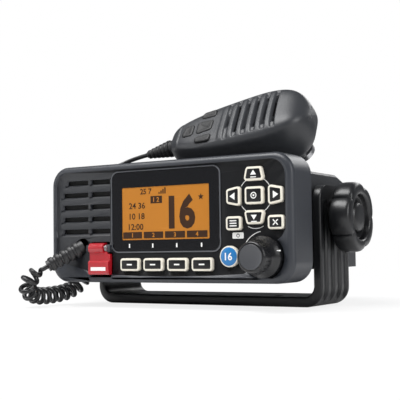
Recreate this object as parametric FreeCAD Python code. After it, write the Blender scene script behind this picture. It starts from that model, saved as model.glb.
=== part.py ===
import FreeCAD, Part
import math
import os

from FreeCAD import Vector, Placement, Matrix

# Marine VHF transceiver on its yoke bracket, with a fist microphone lying on top.
# Frame: origin at the middle of the bracket's underside, X to the viewer's right,
# Y into the set, Z up. All sizes in millimetres.

# Overall sizes
case_width = 156.5
case_height = 66.5
case_depth = 110.1
axis_height = 48.4
panel_centre_z = 47.4
front_y = -59.5

# Fits
key_gap = 0.2
running_gap = 0.05
free_gap = 0.3
seat_gap = 0.1

# Front moulding
bezel_depth = 22.0
bezel_corner_r = 11.0
bezel_wall = 2.8
bezel_bevel = 1.8
recess_depth = 1.6
recess_left = case_width / 2.0 - 3.45
recess_right = case_width / 2.0 - 4.25
recess_top = case_height / 2.0 - 3.45
recess_low = case_height / 2.0 - 5.05
recess_sag = 1.5
recess_corner_r = 8.5
panel_wall = 2.4
floor_y = front_y + recess_depth
inner_y = floor_y + panel_wall
bezel_back_y = front_y + bezel_depth

# Display
window_left = 34.5
window_right = 35.3
window_top = case_height / 2.0 - 5.15
window_bottom = 16.1
window_r = 4.0
lens_thick = 1.8
lens_proud = 0.4
lens_ledge = 1.6
lcd_thick = 3.2
lcd_margin = 2.0

# Keys
key_proud = 1.9
key_travel = 0.8
key_flange = 0.8
key_flange_thick = 1.0
key_round = 1.7
key_edge = 0.5
softkey_width = 12.8
softkey_height = 7.0
softkey_pitch = 15.56
softkey_first_x = -21.7
softkey_z = 9.95 - case_height / 2.0
pad_x = 56.4
pad_z = 11.6
pad_side = 12.1
pad_rise = 11.1
pad_corner_drop = 13.9
round_key_r = 5.5
round_key_x = 41.4
round_key_z = -19.3

# Dial
dial_x = 61.4
dial_z = 13.65 - case_height / 2.0
dial_skirt_r = 10.7
dial_r = 7.9
dial_front_y = front_y - 14.0
dial_travel = 0.8
dial_lift = 1.0
dial_cap_r = 6.3
dial_cap_thick = 1.2
shaft_r = 3.0
encoder_side = 13.0
encoder_depth = 7.0
dial_well_r = 11.6

# Distress key and its cover
cover_left = -49.3
cover_right = -36.9
flap_right = -35.0
cover_hinge_z = -14.1
cover_barrel_r = 3.1
cover_neck_r = 1.3
spring_room = 2.4
spring_r = 2.1
cover_low_z = -28.8
cover_thick = 1.8
cover_lip = 1.6
cover_lip_top_z = -21.0
hinge_pin_r = 0.8
hinge_y = front_y + 1.1
pocket_low_z = -31.4
pocket_side = 0.4
ear_width = 1.7
distress_key_width = 9.0
distress_key_height = 7.0
distress_travel = 1.0

# Loudspeaker
slot_left = -70.4
slot_right = -36.2
slot_top_z = 23.7
slot_pitch = 7.0
slot_count = 5
slot_height = 2.6
slot_bridge_x = -51.0
slot_bridge = 1.6
speaker_x = -53.3
speaker_z = 9.7
speaker_r = 18.0
speaker_depth = 13.0

# Rear chassis
chassis_half = case_width / 2.0 - 11.75
chassis_top = case_height / 2.0 - 6.55
chassis_bottom = case_height / 2.0 - 6.25
ledge_half = chassis_half + 1.5
boss_proud = 0.8
ledge_z = 20.5
flange_half = case_width / 2.0 - 2.35
flange_height = case_height / 2.0 - 2.45
flange_thick = 3.2
gasket_thick = 0.8
chassis_wall = 3.0
slope_start = 84.0
slope_drop = 8.0
rear_y = front_y + case_depth
fin_depth = 9.0
fin_thick = 2.0
fin_pitch = 6.5
fin_count = 8
boss_r = 11.0
stud_bore_depth = 12.0
socket_flange = 25.0

# Yoke bracket
spacer_thick = 1.2
yoke_depth = 38.4
yoke_wall = 5.0
yoke_half = ledge_half + boss_proud + spacer_thick + yoke_wall
yoke_base = 5.6
yoke_top = 66.0
yoke_outer_r = 10.0
yoke_inner_r = 6.0
yoke_top_r = 8.0
groove_depth = 1.2
groove_width = 4.6
groove_pitch = 9.0
groove_count = 4
groove_low = 13.0
groove_high = 40.0
slot_spacing_x = 90.0
slot_spacing_y = 22.0
screw_hole_r = 2.75

# Star knobs
stud_r = 3.0
washer_thick = 1.2
washer_r = 8.0
hub_r = 9.0
hub_length = 2.6
star_r = 19.4
star_valley_r = 15.6
star_length = 12.0
star_lobes = 5
star_edge = 1.2
star_facets = 50
star_dish_r = 12.5
star_dish_depth = 4.0
star_dome_r = 8.0

# Microphone, in its own frame: x towards the head, y across, z out of the face
mic_pitch = 9.0
mic_lean = 52.0
mic_place = Vector(31.5, -15.1, 109.5)
mic_head = 33.0
mic_tail = 60.0
mic_half = 21.0
mic_seam = 11.0
mic_depth = 31.0
mic_wall = 2.2
mic_back_slope = 8.0
mic_slot_pitch = 6.05
mic_slot_count = 6
mic_slot_width = 2.4
mic_slot_half = 14.0
ptt_left = -24.0
ptt_right = 6.0

# Curly cord
wire_d = 2.6
curl_r = 3.9
curl_pitch = 5.0
curl_gap = 0.6
curl_tail = 60.0
arcs_per_curl = 2
wire_sides = 4
panel_boot_start = Vector(-58.5, front_y + 0.8, panel_centre_z - 14.5)
panel_boot_end = Vector(-69.5, -72.5, 23.6)
panel_boot_r = 4.6
boot_root_r = panel_boot_r
boot_sides = 12
rib_depth = 0.8
mic_boot_length = 18.0
mic_boot_r = 5.2

# Overall cords follow these points from the panel boot to the microphone's boot.
cord_points = [
    Vector(-78.0, -79.3, 17.5),
    Vector(-82.5, -76.0, 9.5),
    Vector(-84.0, -66.0, 6.0),
    Vector(-83.0, -54.0, 6.2),
    Vector(-81.0, -42.0, 7.5),
    Vector(-78.5, -31.4, 12.5),
    Vector(-77.6, -27.8, 24.0),
    Vector(-78.0, -27.4, 44.0),
    Vector(-79.5, -26.4, 64.0),
    Vector(-77.0, -20.0, 81.5),
    Vector(-67.0, -13.0, 90.5),
]


def box(x0, x1, y0, y1, z0, z1):
    return Part.makeBox(x1 - x0, y1 - y0, z1 - z0, Vector(x0, y0, z0))


def rod(r, start, direction, length):
    return Part.makeCylinder(r, length, start, direction)


def rod_y(r, x, z, y0, y1):
    return Part.makeCylinder(r, y1 - y0, Vector(x, y0, z), Vector(0, 1, 0))


def rod_x(r, y, z, x0, x1):
    return Part.makeCylinder(r, x1 - x0, Vector(x0, y, z), Vector(1, 0, 0))


def rounded_wire(points, radius):
    # A closed outline of straight sides with one arc at each corner.
    count = len(points)
    ins = []
    outs = []
    mids = []
    for i in range(count):
        p = points[i]
        a = points[i - 1].sub(p)
        b = points[(i + 1) % count].sub(p)
        a.normalize()
        b.normalize()
        half = a.getAngle(b) / 2.0
        back = radius / math.tan(half)
        start = p.add(a.multiply(back))
        end = p.add(b.multiply(back))
        middle = a.add(b)
        middle.normalize()
        reach = radius / math.sin(half) - radius
        ins.append(start)
        outs.append(end)
        mids.append(p.add(middle.multiply(reach)))
    edges = []
    for i in range(count):
        edges.append(Part.Arc(ins[i], mids[i], outs[i]).toShape())
        edges.append(Part.LineSegment(outs[i], ins[(i + 1) % count]).toShape())
    return Part.Wire(edges)


def panel_point(x, z, y):
    return Vector(x, y, panel_centre_z + z)


def panel_prism(points, radius, y0, y1):
    # Points are (x, z) from the panel's centre.
    wire = rounded_wire([panel_point(x, z, y0) for x, z in points], radius)
    return Part.Face(wire).extrude(Vector(0, y1 - y0, 0))


def flat_prism(points, y0, y1):
    # The same with sharp corners.
    corners = [panel_point(x, z, y0) for x, z in points]
    return Part.Face(Part.makePolygon(corners + corners[:1])).extrude(Vector(0, y1 - y0, 0))


def rectangle(x, z, width, height):
    w = width / 2.0
    h = height / 2.0
    return [(x - w, z - h), (x + w, z - h), (x + w, z + h), (x - w, z + h)]


def grown(points, amount):
    # The outline moved outwards from its middle by about the given amount on each side.
    cx = sum(p[0] for p in points) / len(points)
    cz = sum(p[1] for p in points) / len(points)
    half_w = max(abs(p[0] - cx) for p in points)
    half_h = max(abs(p[1] - cz) for p in points)
    kx = (half_w + amount) / half_w
    kz = (half_h + amount) / half_h
    return [(cx + (x - cx) * kx, cz + (z - cz) * kz) for x, z in points]


def edges_where(shape, test):
    return [e for e in shape.Edges if test(e)]


# Front moulding
def recess_tool():
    low = panel_prism([(-recess_left, -12.0), (recess_right, -12.0),
                       (recess_right, recess_top), (-recess_left, recess_top)],
                      recess_corner_r, front_y - 1.0, floor_y)
    y = front_y - 1.0
    z = -recess_low
    side = [panel_point(-recess_left, -8.0, y), panel_point(-recess_left, z + 6.5, y),
            panel_point(-58.0, z + 3.2, y), panel_point(-48.0, z, y)]
    end = [panel_point(50.0, z, y), panel_point(60.0, -20.0, y),
           panel_point(60.0, -2.0, y), panel_point(-60.0, -2.0, y), side[0]]
    arc = Part.Arc(side[-1], panel_point(2.0, z - recess_sag, y), end[0]).toShape()
    edges = Part.makePolygon(side).Edges + [arc] + Part.makePolygon(end).Edges
    lower = Part.Face(Part.Wire(edges)).extrude(Vector(0, floor_y - y, 0))
    well = rod_y(dial_well_r, dial_x, panel_centre_z + dial_z, y, floor_y)
    return low.fuse([lower, well])


def window_outline(extra=0.0):
    return [(-window_left - extra, -window_bottom - extra), (window_right + extra, -window_bottom - extra),
            (window_right + extra, window_top + extra), (-window_left - extra, window_top + extra)]


def key_outlines():
    # Name to (outline, corner radius) for every key of the panel, from the panel's centre.
    keys = {}
    for i in range(4):
        x = softkey_first_x + softkey_pitch * i
        keys["softkey_%d" % (i + 1)] = rectangle(x, softkey_z, softkey_width, softkey_height)
    wide, narrow, half = 6.0, 4.4, 3.6
    up_z = pad_z + pad_rise
    keys["key_up"] = [(pad_x - wide, up_z - half), (pad_x + wide, up_z - half),
                      (pad_x + narrow, up_z + half), (pad_x - narrow, up_z + half)]
    down_z = pad_z - pad_rise
    keys["key_down"] = [(pad_x - narrow, down_z - half), (pad_x + narrow, down_z - half),
                        (pad_x + wide, down_z + half), (pad_x - wide, down_z + half)]
    tall, short, deep = 5.3, 3.7, 4.1
    left_x = pad_x - pad_side
    keys["key_left"] = [(left_x - deep, pad_z - short), (left_x + deep, pad_z - tall),
                        (left_x + deep, pad_z + tall), (left_x - deep, pad_z + short)]
    right_x = pad_x + pad_side
    keys["key_right"] = [(right_x - deep, pad_z - tall), (right_x + deep, pad_z - short),
                         (right_x + deep, pad_z + short), (right_x - deep, pad_z + tall)]
    keys["key_enter"] = rectangle(pad_x, pad_z, 10.6, 9.0)
    keys["key_menu"] = rectangle(left_x, pad_z - pad_corner_drop, 9.0, 7.2)
    keys["key_clear"] = rectangle(right_x, pad_z - pad_corner_drop, 9.0, 7.2)
    return keys


def make_keys():
    keys = {}
    for name, outline in key_outlines().items():
        top = panel_prism(outline, key_round, floor_y - key_proud, inner_y + key_gap)
        front = edges_where(top, lambda e: abs(e.BoundBox.YMax - (floor_y - key_proud)) < 0.01)
        top = top.makeChamfer(key_edge, front)
        flange = flat_prism(grown(outline, key_flange), inner_y + key_gap, inner_y + key_gap + key_flange_thick)
        keys[name] = top.fuse(flange).removeSplitter()
    z = panel_centre_z + round_key_z
    top = rod_y(round_key_r, round_key_x, z, floor_y - key_proud, inner_y + key_gap)
    front = edges_where(top, lambda e: abs(e.BoundBox.YMax - (floor_y - key_proud)) < 0.01)
    top = top.makeChamfer(key_edge, front)
    flange = flat_prism(rectangle(round_key_x, round_key_z, 2 * (round_key_r + key_flange),
                                  2 * (round_key_r + key_flange)),
                        inner_y + key_gap, inner_y + key_gap + key_flange_thick)
    keys["key_channel"] = top.fuse(flange).removeSplitter()
    return keys


def make_bezel():
    outer = panel_prism(rectangle(0, 0, case_width, case_height), bezel_corner_r, front_y, bezel_back_y)
    front = edges_where(outer, lambda e: abs(e.BoundBox.YMax - front_y) < 0.01)
    outer = outer.makeChamfer(bezel_bevel, front)
    hollow = panel_prism(rectangle(0, 0, case_width - 2 * bezel_wall, case_height - 2 * bezel_wall),
                         bezel_corner_r - bezel_wall, inner_y, bezel_back_y + 1.0)
    body = outer.cut([hollow, recess_tool()])
    cuts = [panel_prism(window_outline(seat_gap), window_r, floor_y - 1.0, floor_y + lens_thick - lens_proud),
            panel_prism(window_outline(-lens_ledge), window_r - 1.0, floor_y, inner_y + 1.0)]
    for outline in key_outlines().values():
        cuts.append(panel_prism(grown(outline, key_gap), key_round, floor_y - 1.0, inner_y + 1.0))
    z = panel_centre_z + round_key_z
    cuts.append(rod_y(round_key_r + key_gap, round_key_x, z, floor_y - 1.0, inner_y + 1.0))
    cuts.append(rod_y(shaft_r + free_gap, dial_x, panel_centre_z + dial_z, floor_y - 1.0, inner_y + 1.0))
    for i in range(slot_count):
        slot_z = slot_top_z - slot_pitch * i
        left = slot_left + (3.0 if i == 0 else 0.0)
        low = slot_z - slot_height / 2.0
        high = slot_z + slot_height / 2.0
        for x0, x1 in ((left, slot_bridge_x - slot_bridge / 2.0), (slot_bridge_x + slot_bridge / 2.0, slot_right)):
            cuts.append(box(x0, x1, floor_y - 1.0, inner_y + 1.0, panel_centre_z + low, panel_centre_z + high))
        wedge = [Vector(left - 1.5, floor_y - 0.01, panel_centre_z + low),
                 Vector(left - 1.5, floor_y - 0.01, panel_centre_z + low - 1.6),
                 Vector(left - 1.5, floor_y + 1.4, panel_centre_z + low)]
        face = Part.Face(Part.makePolygon(wedge + wedge[:1]))
        cuts.append(face.extrude(Vector(slot_right - left + 1.5, 0, 0)))
    pocket_top = panel_centre_z + cover_hinge_z + cover_barrel_r + 0.6
    pocket_step = panel_centre_z + cover_hinge_z - 2.8
    cuts.append(box(cover_left - pocket_side, cover_right + pocket_side, front_y - 1.0, inner_y + 1.0,
                    pocket_step - 1.0, pocket_top))
    cuts.append(box(cover_left - pocket_side, flap_right + pocket_side, front_y - 1.0, inner_y + 1.0,
                    panel_centre_z + pocket_low_z, pocket_step))
    cuts.append(rod(boot_root_r + seat_gap, panel_boot_start.sub(boot_direction().multiply(8.0)),
                    boot_direction(), 12.0))
    body = body.cut(cuts)
    ears = []
    for x0, x1 in ((cover_left - pocket_side - ear_width, cover_left - pocket_side),
                   (cover_right + pocket_side, cover_right + pocket_side + ear_width)):
        ears.append(box(x0, x1, hinge_y - 2.0, floor_y + 1.0, panel_centre_z + cover_hinge_z - 2.0,
                        panel_centre_z + cover_hinge_z + 2.0))
    body = body.fuse(ears)
    pin_hole = rod_x(hinge_pin_r, hinge_y, panel_centre_z + cover_hinge_z, cover_left - 4.0, cover_right + pocket_side + ear_width + 0.1)
    return body.cut(pin_hole).removeSplitter()


def make_lens():
    lens = panel_prism(window_outline(), window_r, floor_y - lens_proud, floor_y - lens_proud + lens_thick)
    return lens


def make_lcd():
    y = floor_y - lens_proud + lens_thick + 0.4
    body = panel_prism(window_outline(-lcd_margin), window_r - 1.0, y, y + lcd_thick)
    return body


def mat_outline_tool(y0, y1, edge):
    pad = box(37.8 + edge, recess_right - 1.4 - edge, y0, y1, panel_centre_z - recess_low + 0.6 + edge,
              panel_centre_z + recess_top - 2.0 - edge)
    strip = box(-30.0 + edge, 40.0, y0, y1, panel_centre_z - recess_low + edge,
                panel_centre_z + softkey_z + 5.9 - edge)
    return pad.fuse(strip)


def make_keypad_mat():
    y = inner_y + key_gap + key_flange_thick + key_travel + 0.2
    mat = mat_outline_tool(y, y + 1.0, 0.0)
    hole = rod_y(encoder_side * 0.75, dial_x, panel_centre_z + dial_z, y - 1.0, y + 2.0)
    return mat.cut(hole).removeSplitter()


def front_board_y():
    return inner_y + key_gap + key_flange_thick + key_travel + 0.2 + 1.0 + 0.1


def make_front_board():
    y = front_board_y()
    board = box(-31.0, recess_right - 1.6, y, y + 1.6, panel_centre_z - recess_low, panel_centre_z + recess_top - 1.6)
    display = panel_prism(window_outline(-lcd_margin + 0.6), 1.0, y - 1.0, y + 2.0)
    hole = rod_y(encoder_side * 0.75, dial_x, panel_centre_z + dial_z, y - 1.0, y + 3.0)
    return board.cut([display, hole]).removeSplitter()


# Dial and its push encoder
def encoder_front_y():
    return inner_y + 0.1


def make_encoder():
    z = panel_centre_z + dial_z
    y = encoder_front_y()
    s = encoder_side / 2.0
    body = box(dial_x - s, dial_x + s, y, y + encoder_depth, z - s, z + s)
    return body.cut(rod_y(shaft_r + running_gap, dial_x, z, y - 1.0, y + encoder_depth - 1.0))


def make_dial_shaft():
    z = panel_centre_z + dial_z
    back = encoder_front_y() + encoder_depth - 1.0 - dial_travel - 0.2
    return rod_y(shaft_r, dial_x, z, dial_front_y + 4.0, back)


def make_dial():
    z = panel_centre_z + dial_z
    back = floor_y - dial_lift
    points = [Vector(0, back, 0), Vector(dial_skirt_r, back, 0), Vector(dial_skirt_r, back - 3.4, 0),
              Vector(dial_r, back - 6.4, 0), Vector(dial_r, dial_front_y, 0),
              Vector(0, dial_front_y, 0)]
    face = Part.Face(Part.makePolygon(points + points[:1]))
    body = face.revolve(Vector(0, 0, 0), Vector(0, 1, 0), 360)
    body.translate(Vector(dial_x, 0, z))
    bore = rod_y(shaft_r + running_gap, dial_x, z, dial_front_y + 3.8, back + 1.0)
    seat = rod_y(dial_cap_r + seat_gap, dial_x, z, dial_front_y - 1.0, dial_front_y + dial_cap_thick)
    step = box(dial_x + dial_r - 0.4, dial_x + dial_skirt_r + 1.0, back - 5.2, back - 1.6, z + 2.2, z + 6.0)
    return body.cut([bore, seat, step]).removeSplitter()


def make_dial_cap():
    z = panel_centre_z + dial_z
    return rod_y(dial_cap_r, dial_x, z, dial_front_y - 0.3, dial_front_y + dial_cap_thick - 0.02)


# Distress key, cover, pin and spring
def make_cover():
    z = panel_centre_z + cover_hinge_z
    split = cover_right - spring_room
    barrel = rod_x(cover_barrel_r, hinge_y, z, cover_left, split)
    thin = rod_x(cover_neck_r, hinge_y, z, split, cover_right)
    plate_front = hinge_y - 1.6
    plate = box(cover_left, cover_right, plate_front, plate_front + cover_thick,
                panel_centre_z + cover_low_z, z)
    wide = box(cover_left, flap_right, plate_front, plate_front + cover_thick,
               panel_centre_z + cover_low_z, z - 3.2)
    lip = box(cover_left, flap_right, plate_front - cover_lip, plate_front + 0.1,
              panel_centre_z + cover_low_z, panel_centre_z + cover_lip_top_z)
    low = edges_where(lip, lambda e: abs(e.BoundBox.YMax - (plate_front - cover_lip)) < 0.01
                      and e.BoundBox.XLength > 1.0)
    lip = lip.makeChamfer(0.9, low)
    relief = rod_x(spring_r + free_gap, hinge_y, z, split, cover_right + 0.5)
    relief = relief.cut(rod_x(cover_neck_r, hinge_y, z, split, cover_right + 1.0))
    body = barrel.fuse([thin, plate, wide, lip]).cut(relief)
    return body.cut(rod_x(hinge_pin_r + running_gap, hinge_y, z, cover_left - 1.0, cover_right + 1.0)).removeSplitter()


def make_pin():
    z = panel_centre_z + cover_hinge_z
    return rod_x(hinge_pin_r, hinge_y, z, cover_left - pocket_side - ear_width + 0.2,
                 cover_right + pocket_side + ear_width - 0.2)


def make_spring():
    # The closed coil round the thin end of the cover's barrel.
    z = panel_centre_z + cover_hinge_z
    start = cover_right - spring_room + 0.2
    body = rod_x(spring_r, hinge_y, z, start, cover_right - 0.2)
    return body.cut(rod_x(cover_neck_r + 0.1, hinge_y, z, start - 1.0, cover_right + 1.0))


def make_distress_key():
    x = (cover_left + cover_right) / 2.0
    z = (cover_low_z + cover_hinge_z) / 2.0 - 1.6
    front = hinge_y - 1.6 + cover_thick + 0.4
    top = panel_prism(rectangle(x, z, distress_key_width, distress_key_height), 1.5, front, inner_y + 1.0)
    flange = panel_prism(rectangle(x, z, distress_key_width + 2.0, distress_key_height + 2.0), 1.5,
                         inner_y + 0.9, front_board_y() - distress_travel - 0.2)
    return top.fuse(flange).removeSplitter()


# Loudspeaker
def make_speaker():
    z = panel_centre_z + speaker_z
    y = inner_y + 1.3
    magnet = rod_y(speaker_r * 0.55, 0, 0, y + 2.0, y + speaker_depth)
    body = rod_y(speaker_r, 0, 0, y, y + 2.0).fuse(magnet)
    body.translate(Vector(speaker_x, 0, z))
    return body


def make_speaker_cloth():
    y = inner_y + 0.1
    return box(slot_left - 1.0, slot_right + 1.2, y, y + 1.0,
               panel_centre_z + slot_top_z - slot_pitch * (slot_count - 1) - 3.0,
               panel_centre_z + slot_top_z + 3.0)


# Sealing, chassis and boards
def make_gasket():
    y = bezel_back_y
    outer = panel_prism(rectangle(0, 0, case_width - 3.4, case_height - 3.4), bezel_corner_r - 1.7, y, y + gasket_thick)
    inner = panel_prism(rectangle(0, 0, case_width - 9.0, case_height - 9.0), bezel_corner_r - 4.0,
                        y - 1.0, y + gasket_thick + 1.0)
    return outer.cut(inner)


def chassis_start_y():
    return bezel_back_y + gasket_thick


def make_rear_frame():
    # The clamping frame that the chassis and the front moulding are both screwed to.
    y = chassis_start_y()
    plate = panel_prism(rectangle(0, 0, 2 * flange_half, 2 * flange_height), bezel_corner_r - 2.0, y, y + flange_thick)
    return plate.cut(box(-chassis_half + chassis_wall, chassis_half - chassis_wall, y - 1.0, y + flange_thick + 1.0,
                         panel_centre_z - chassis_bottom + chassis_wall, panel_centre_z + chassis_top - chassis_wall))


def make_chassis():
    y = chassis_start_y() + flange_thick
    z = panel_centre_z
    top = z + chassis_top
    side = [Vector(-chassis_half, y, z - chassis_bottom), Vector(-chassis_half, rear_y, z - chassis_bottom),
            Vector(-chassis_half, rear_y, top - slope_drop), Vector(-chassis_half, front_y + slope_start, top),
            Vector(-chassis_half, y, top)]
    core = Part.Face(Part.makePolygon(side + side[:1])).extrude(Vector(2 * chassis_half, 0, 0))
    long_edges = edges_where(core, lambda e: e.BoundBox.XLength < 0.01 and e.BoundBox.ZMin > z)
    core = core.makeChamfer(1.5, long_edges)
    ledge = box(-ledge_half, ledge_half, y, rear_y - 14.0, z - chassis_bottom + 2.0, z + ledge_z)
    boss = rod_x(boss_r, 0.0, axis_height, -ledge_half - boss_proud, ledge_half + boss_proud)
    body = core.fuse([ledge, boss])
    hollow = box(-chassis_half + chassis_wall, chassis_half - chassis_wall, y - 1.0, rear_y - fin_depth - chassis_wall,
                 z - chassis_bottom + chassis_wall, z + chassis_top - slope_drop - 1.0)
    upper = box(-chassis_half + chassis_wall, chassis_half - chassis_wall, y - 1.0, front_y + slope_start - 4.0,
                z, top - chassis_wall)
    pads = [rod_x(7.0, 0.0, axis_height, -ledge_half, -ledge_half + stud_bore_depth + 3.0),
            rod_x(7.0, 0.0, axis_height, ledge_half - stud_bore_depth - 3.0, ledge_half)]
    body = body.cut([hollow, upper]).fuse(pads)
    cuts = []
    for side_sign in (-1, 1):
        x0 = side_sign * (ledge_half + 1.0)
        x1 = side_sign * (ledge_half - stud_bore_depth)
        cuts.append(rod_x(stud_r + running_gap, 0.0, axis_height, min(x0, x1), max(x0, x1)))
    first = -fin_pitch * (fin_count - 0.5)
    for i in range(2 * fin_count):
        x = first + fin_pitch * i
        if abs(x) > 12.0:
            cuts.append(box(x - (fin_pitch - fin_thick) / 2, x + (fin_pitch - fin_thick) / 2, rear_y - fin_depth,
                            rear_y + 1.0, z - 8.0, top + 1.0))
    s = socket_flange / 2.0 + seat_gap
    cuts.append(box(-s, s, rear_y - fin_depth, rear_y + 1.0, z + 4.0 - s, z + 4.0 + s))
    cuts.append(rod_y(8.5, 0.0, z + 4.0, rear_y - fin_depth - chassis_wall - 1.0, rear_y + 1.0))
    for x, r in ((-34.0, 5.0), (34.0, 4.0)):
        cuts.append(rod_y(r, x, z - 17.0, rear_y - fin_depth - chassis_wall - 1.0, rear_y + 1.0))
    return body.cut(cuts).removeSplitter()


def make_main_board():
    y = chassis_start_y() + 6.0
    z = panel_centre_z - 14.0
    board = box(-58.0, 58.0, y, rear_y - fin_depth - chassis_wall - 2.0, z, z + 1.6)
    shield = box(-40.0, 20.0, y + 8.0, y + 44.0, z + 1.6, z + 9.6)
    legs = []
    for x in (-54.0, 54.0):
        for ly in (y + 4.0, rear_y - 18.0):
            legs.append(box(x - 2.0, x + 2.0, ly - 2.0, ly + 2.0,
                            panel_centre_z - chassis_bottom + chassis_wall, z + 0.1))
    return board.fuse([shield] + legs).removeSplitter()


def make_antenna_socket():
    z = panel_centre_z + 4.0
    base = rear_y - fin_depth
    s = socket_flange / 2.0
    flange = box(-s, s, base, base + 2.5, z - s, z + s)
    barrel = rod_y(7.9, 0.0, z, base + 2.5, base + 17.0)
    bore = rod_y(6.6, 0.0, z, base + 3.0, base + 18.0)
    return flange.fuse(barrel).cut([bore, rod_y(5.0, 0.0, z, base - 1.0, base + 4.0)]).removeSplitter()


def make_antenna_insulator():
    z = panel_centre_z + 4.0
    base = rear_y - fin_depth
    body = rod_y(6.5, 0.0, z, base + 3.05, base + 12.0)
    return body.cut(rod_y(2.9, 0.0, z, base, base + 13.0))


def make_antenna_contact():
    z = panel_centre_z + 4.0
    base = rear_y - fin_depth
    return rod_y(2.85, 0.0, z, base - 4.0, base + 13.0)


def make_gland(x, r):
    z = panel_centre_z - 17.0
    base = rear_y - fin_depth - chassis_wall
    body = rod_y(r - seat_gap, x, z, base, rear_y + 0.1)
    collar = rod_y(r + 2.2, x, z, rear_y + 0.1, rear_y + 2.6)
    return body.fuse(collar).removeSplitter()


# Yoke bracket with its spacers
def make_yoke():
    y0 = -yoke_depth / 2.0
    a = yoke_half
    b = yoke_half - yoke_wall
    r = yoke_outer_r
    q = yoke_inner_r
    s = math.sqrt(0.5)
    p = [Vector(-a, y0, yoke_top), Vector(-a, y0, r), Vector(-a + r, y0, 0), Vector(a - r, y0, 0),
         Vector(a, y0, r), Vector(a, y0, yoke_top), Vector(b, y0, yoke_top), Vector(b, y0, yoke_base + q),
         Vector(b - q, y0, yoke_base), Vector(-b + q, y0, yoke_base), Vector(-b, y0, yoke_base + q),
         Vector(-b, y0, yoke_top)]
    m = [Vector(-a + r - r * s, y0, r - r * s), Vector(a - r + r * s, y0, r - r * s),
         Vector(b - q + q * s, y0, yoke_base + q - q * s), Vector(-b + q - q * s, y0, yoke_base + q - q * s)]
    edges = [Part.LineSegment(p[0], p[1]).toShape(), Part.Arc(p[1], m[0], p[2]).toShape(),
             Part.LineSegment(p[2], p[3]).toShape(), Part.Arc(p[3], m[1], p[4]).toShape(),
             Part.LineSegment(p[4], p[5]).toShape(), Part.LineSegment(p[5], p[6]).toShape(),
             Part.LineSegment(p[6], p[7]).toShape(), Part.Arc(p[7], m[2], p[8]).toShape(),
             Part.LineSegment(p[8], p[9]).toShape(), Part.Arc(p[9], m[3], p[10]).toShape(),
             Part.LineSegment(p[10], p[11]).toShape(), Part.LineSegment(p[11], p[0]).toShape()]
    body = Part.Face(Part.Wire(edges)).extrude(Vector(0, yoke_depth, 0))
    tops = edges_where(body, lambda e: e.BoundBox.ZMin > yoke_top - 0.01 and e.BoundBox.XLength > 1.0)
    body = body.makeFillet(yoke_top_r, tops)
    cuts = [rod_x(stud_r + free_gap, 0.0, axis_height, -a - 1.0, a + 1.0)]
    for i in range(groove_count):
        y = (i - (groove_count - 1) / 2.0) * groove_pitch
        for x0, x1 in ((-a - 1.0, -a + groove_depth), (a - groove_depth, a + 1.0)):
            cuts.append(box(x0, x1, y - groove_width / 2, y + groove_width / 2, groove_low, groove_high))
    for x in (-slot_spacing_x / 2, slot_spacing_x / 2):
        for y in (-slot_spacing_y / 2, slot_spacing_y / 2):
            cuts.append(rod(screw_hole_r, Vector(x, y, -1.0), Vector(0, 0, 1), yoke_base + 2.0))
    return body.cut(cuts).removeSplitter()


def make_spacer(sign):
    inner = ledge_half + boss_proud
    outer = inner + spacer_thick
    x0 = min(sign * inner, sign * outer)
    x1 = max(sign * inner, sign * outer)
    body = rod_x(10.0, 0.0, axis_height, x0, x1)
    return body.cut(rod_x(stud_r + free_gap, 0.0, axis_height, x0 - 1.0, x1 + 1.0))


def make_washer(sign):
    x0 = sign * yoke_half
    x1 = sign * (yoke_half + washer_thick)
    body = rod_x(washer_r, 0.0, axis_height, min(x0, x1), max(x0, x1))
    return body.cut(rod_x(stud_r + free_gap, 0.0, axis_height, -yoke_half - 9.0, yoke_half + 9.0))


def star_wire(x):
    # The knob's outline: round lobes with a narrow valley between each two.
    points = []
    for i in range(star_facets):
        a = 2 * math.pi * i / star_facets
        swell = abs(math.cos(0.5 * star_lobes * (a - math.pi))) ** 0.55
        r = star_valley_r + (star_r - star_valley_r) * swell
        points.append(Vector(x, r * math.cos(a), axis_height + r * math.sin(a)))
    return Part.makePolygon(points + points[:1])


def make_star_knob(sign):
    start = yoke_half + washer_thick + 0.2
    hub_end = start + hub_length
    body = Part.Face(star_wire(hub_end)).extrude(Vector(star_length, 0, 0))
    outer = hub_end + star_length
    rims = edges_where(body, lambda e: e.BoundBox.XMin > outer - 0.01)
    body = body.makeChamfer(star_edge, rims)
    hub = rod_x(hub_r, 0.0, axis_height, start, hub_end + 1.0)
    dish = rod_x(star_dish_r, 0.0, axis_height, outer - star_dish_depth, outer + 1.0)
    body = body.fuse(hub).cut(dish)
    dome = rod_x(star_dome_r, 0.0, axis_height, outer - star_dish_depth - 0.1, outer - 1.0)
    body = body.fuse(dome)
    body = body.cut(rod_x(stud_r, 0.0, axis_height, start - 1.0, hub_end + 5.0)).removeSplitter()
    if sign < 0:
        body = body.mirror(Vector(0, 0, 0), Vector(1, 0, 0))
    return body


def make_stud(sign):
    start = ledge_half - stud_bore_depth + 2.0
    end = yoke_half + washer_thick + 0.2 + hub_length + 5.0
    body = rod_x(stud_r, 0.0, axis_height, start, end)
    if sign < 0:
        body = body.mirror(Vector(0, 0, 0), Vector(1, 0, 0))
    return body


# Microphone
def mic_axes():
    a = math.radians(mic_pitch)
    b = math.radians(mic_lean)
    e1 = Vector(math.cos(a), 0, math.sin(a))
    up = Vector(-math.sin(a), 0, math.cos(a))
    side = Vector(0, 1, 0)
    e2 = side.multiply(math.cos(b)).add(Vector(up).multiply(math.sin(b)))
    e3 = Vector(0, 1, 0).multiply(-math.sin(b)).add(Vector(up).multiply(math.cos(b)))
    return e1, e2, e3


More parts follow.
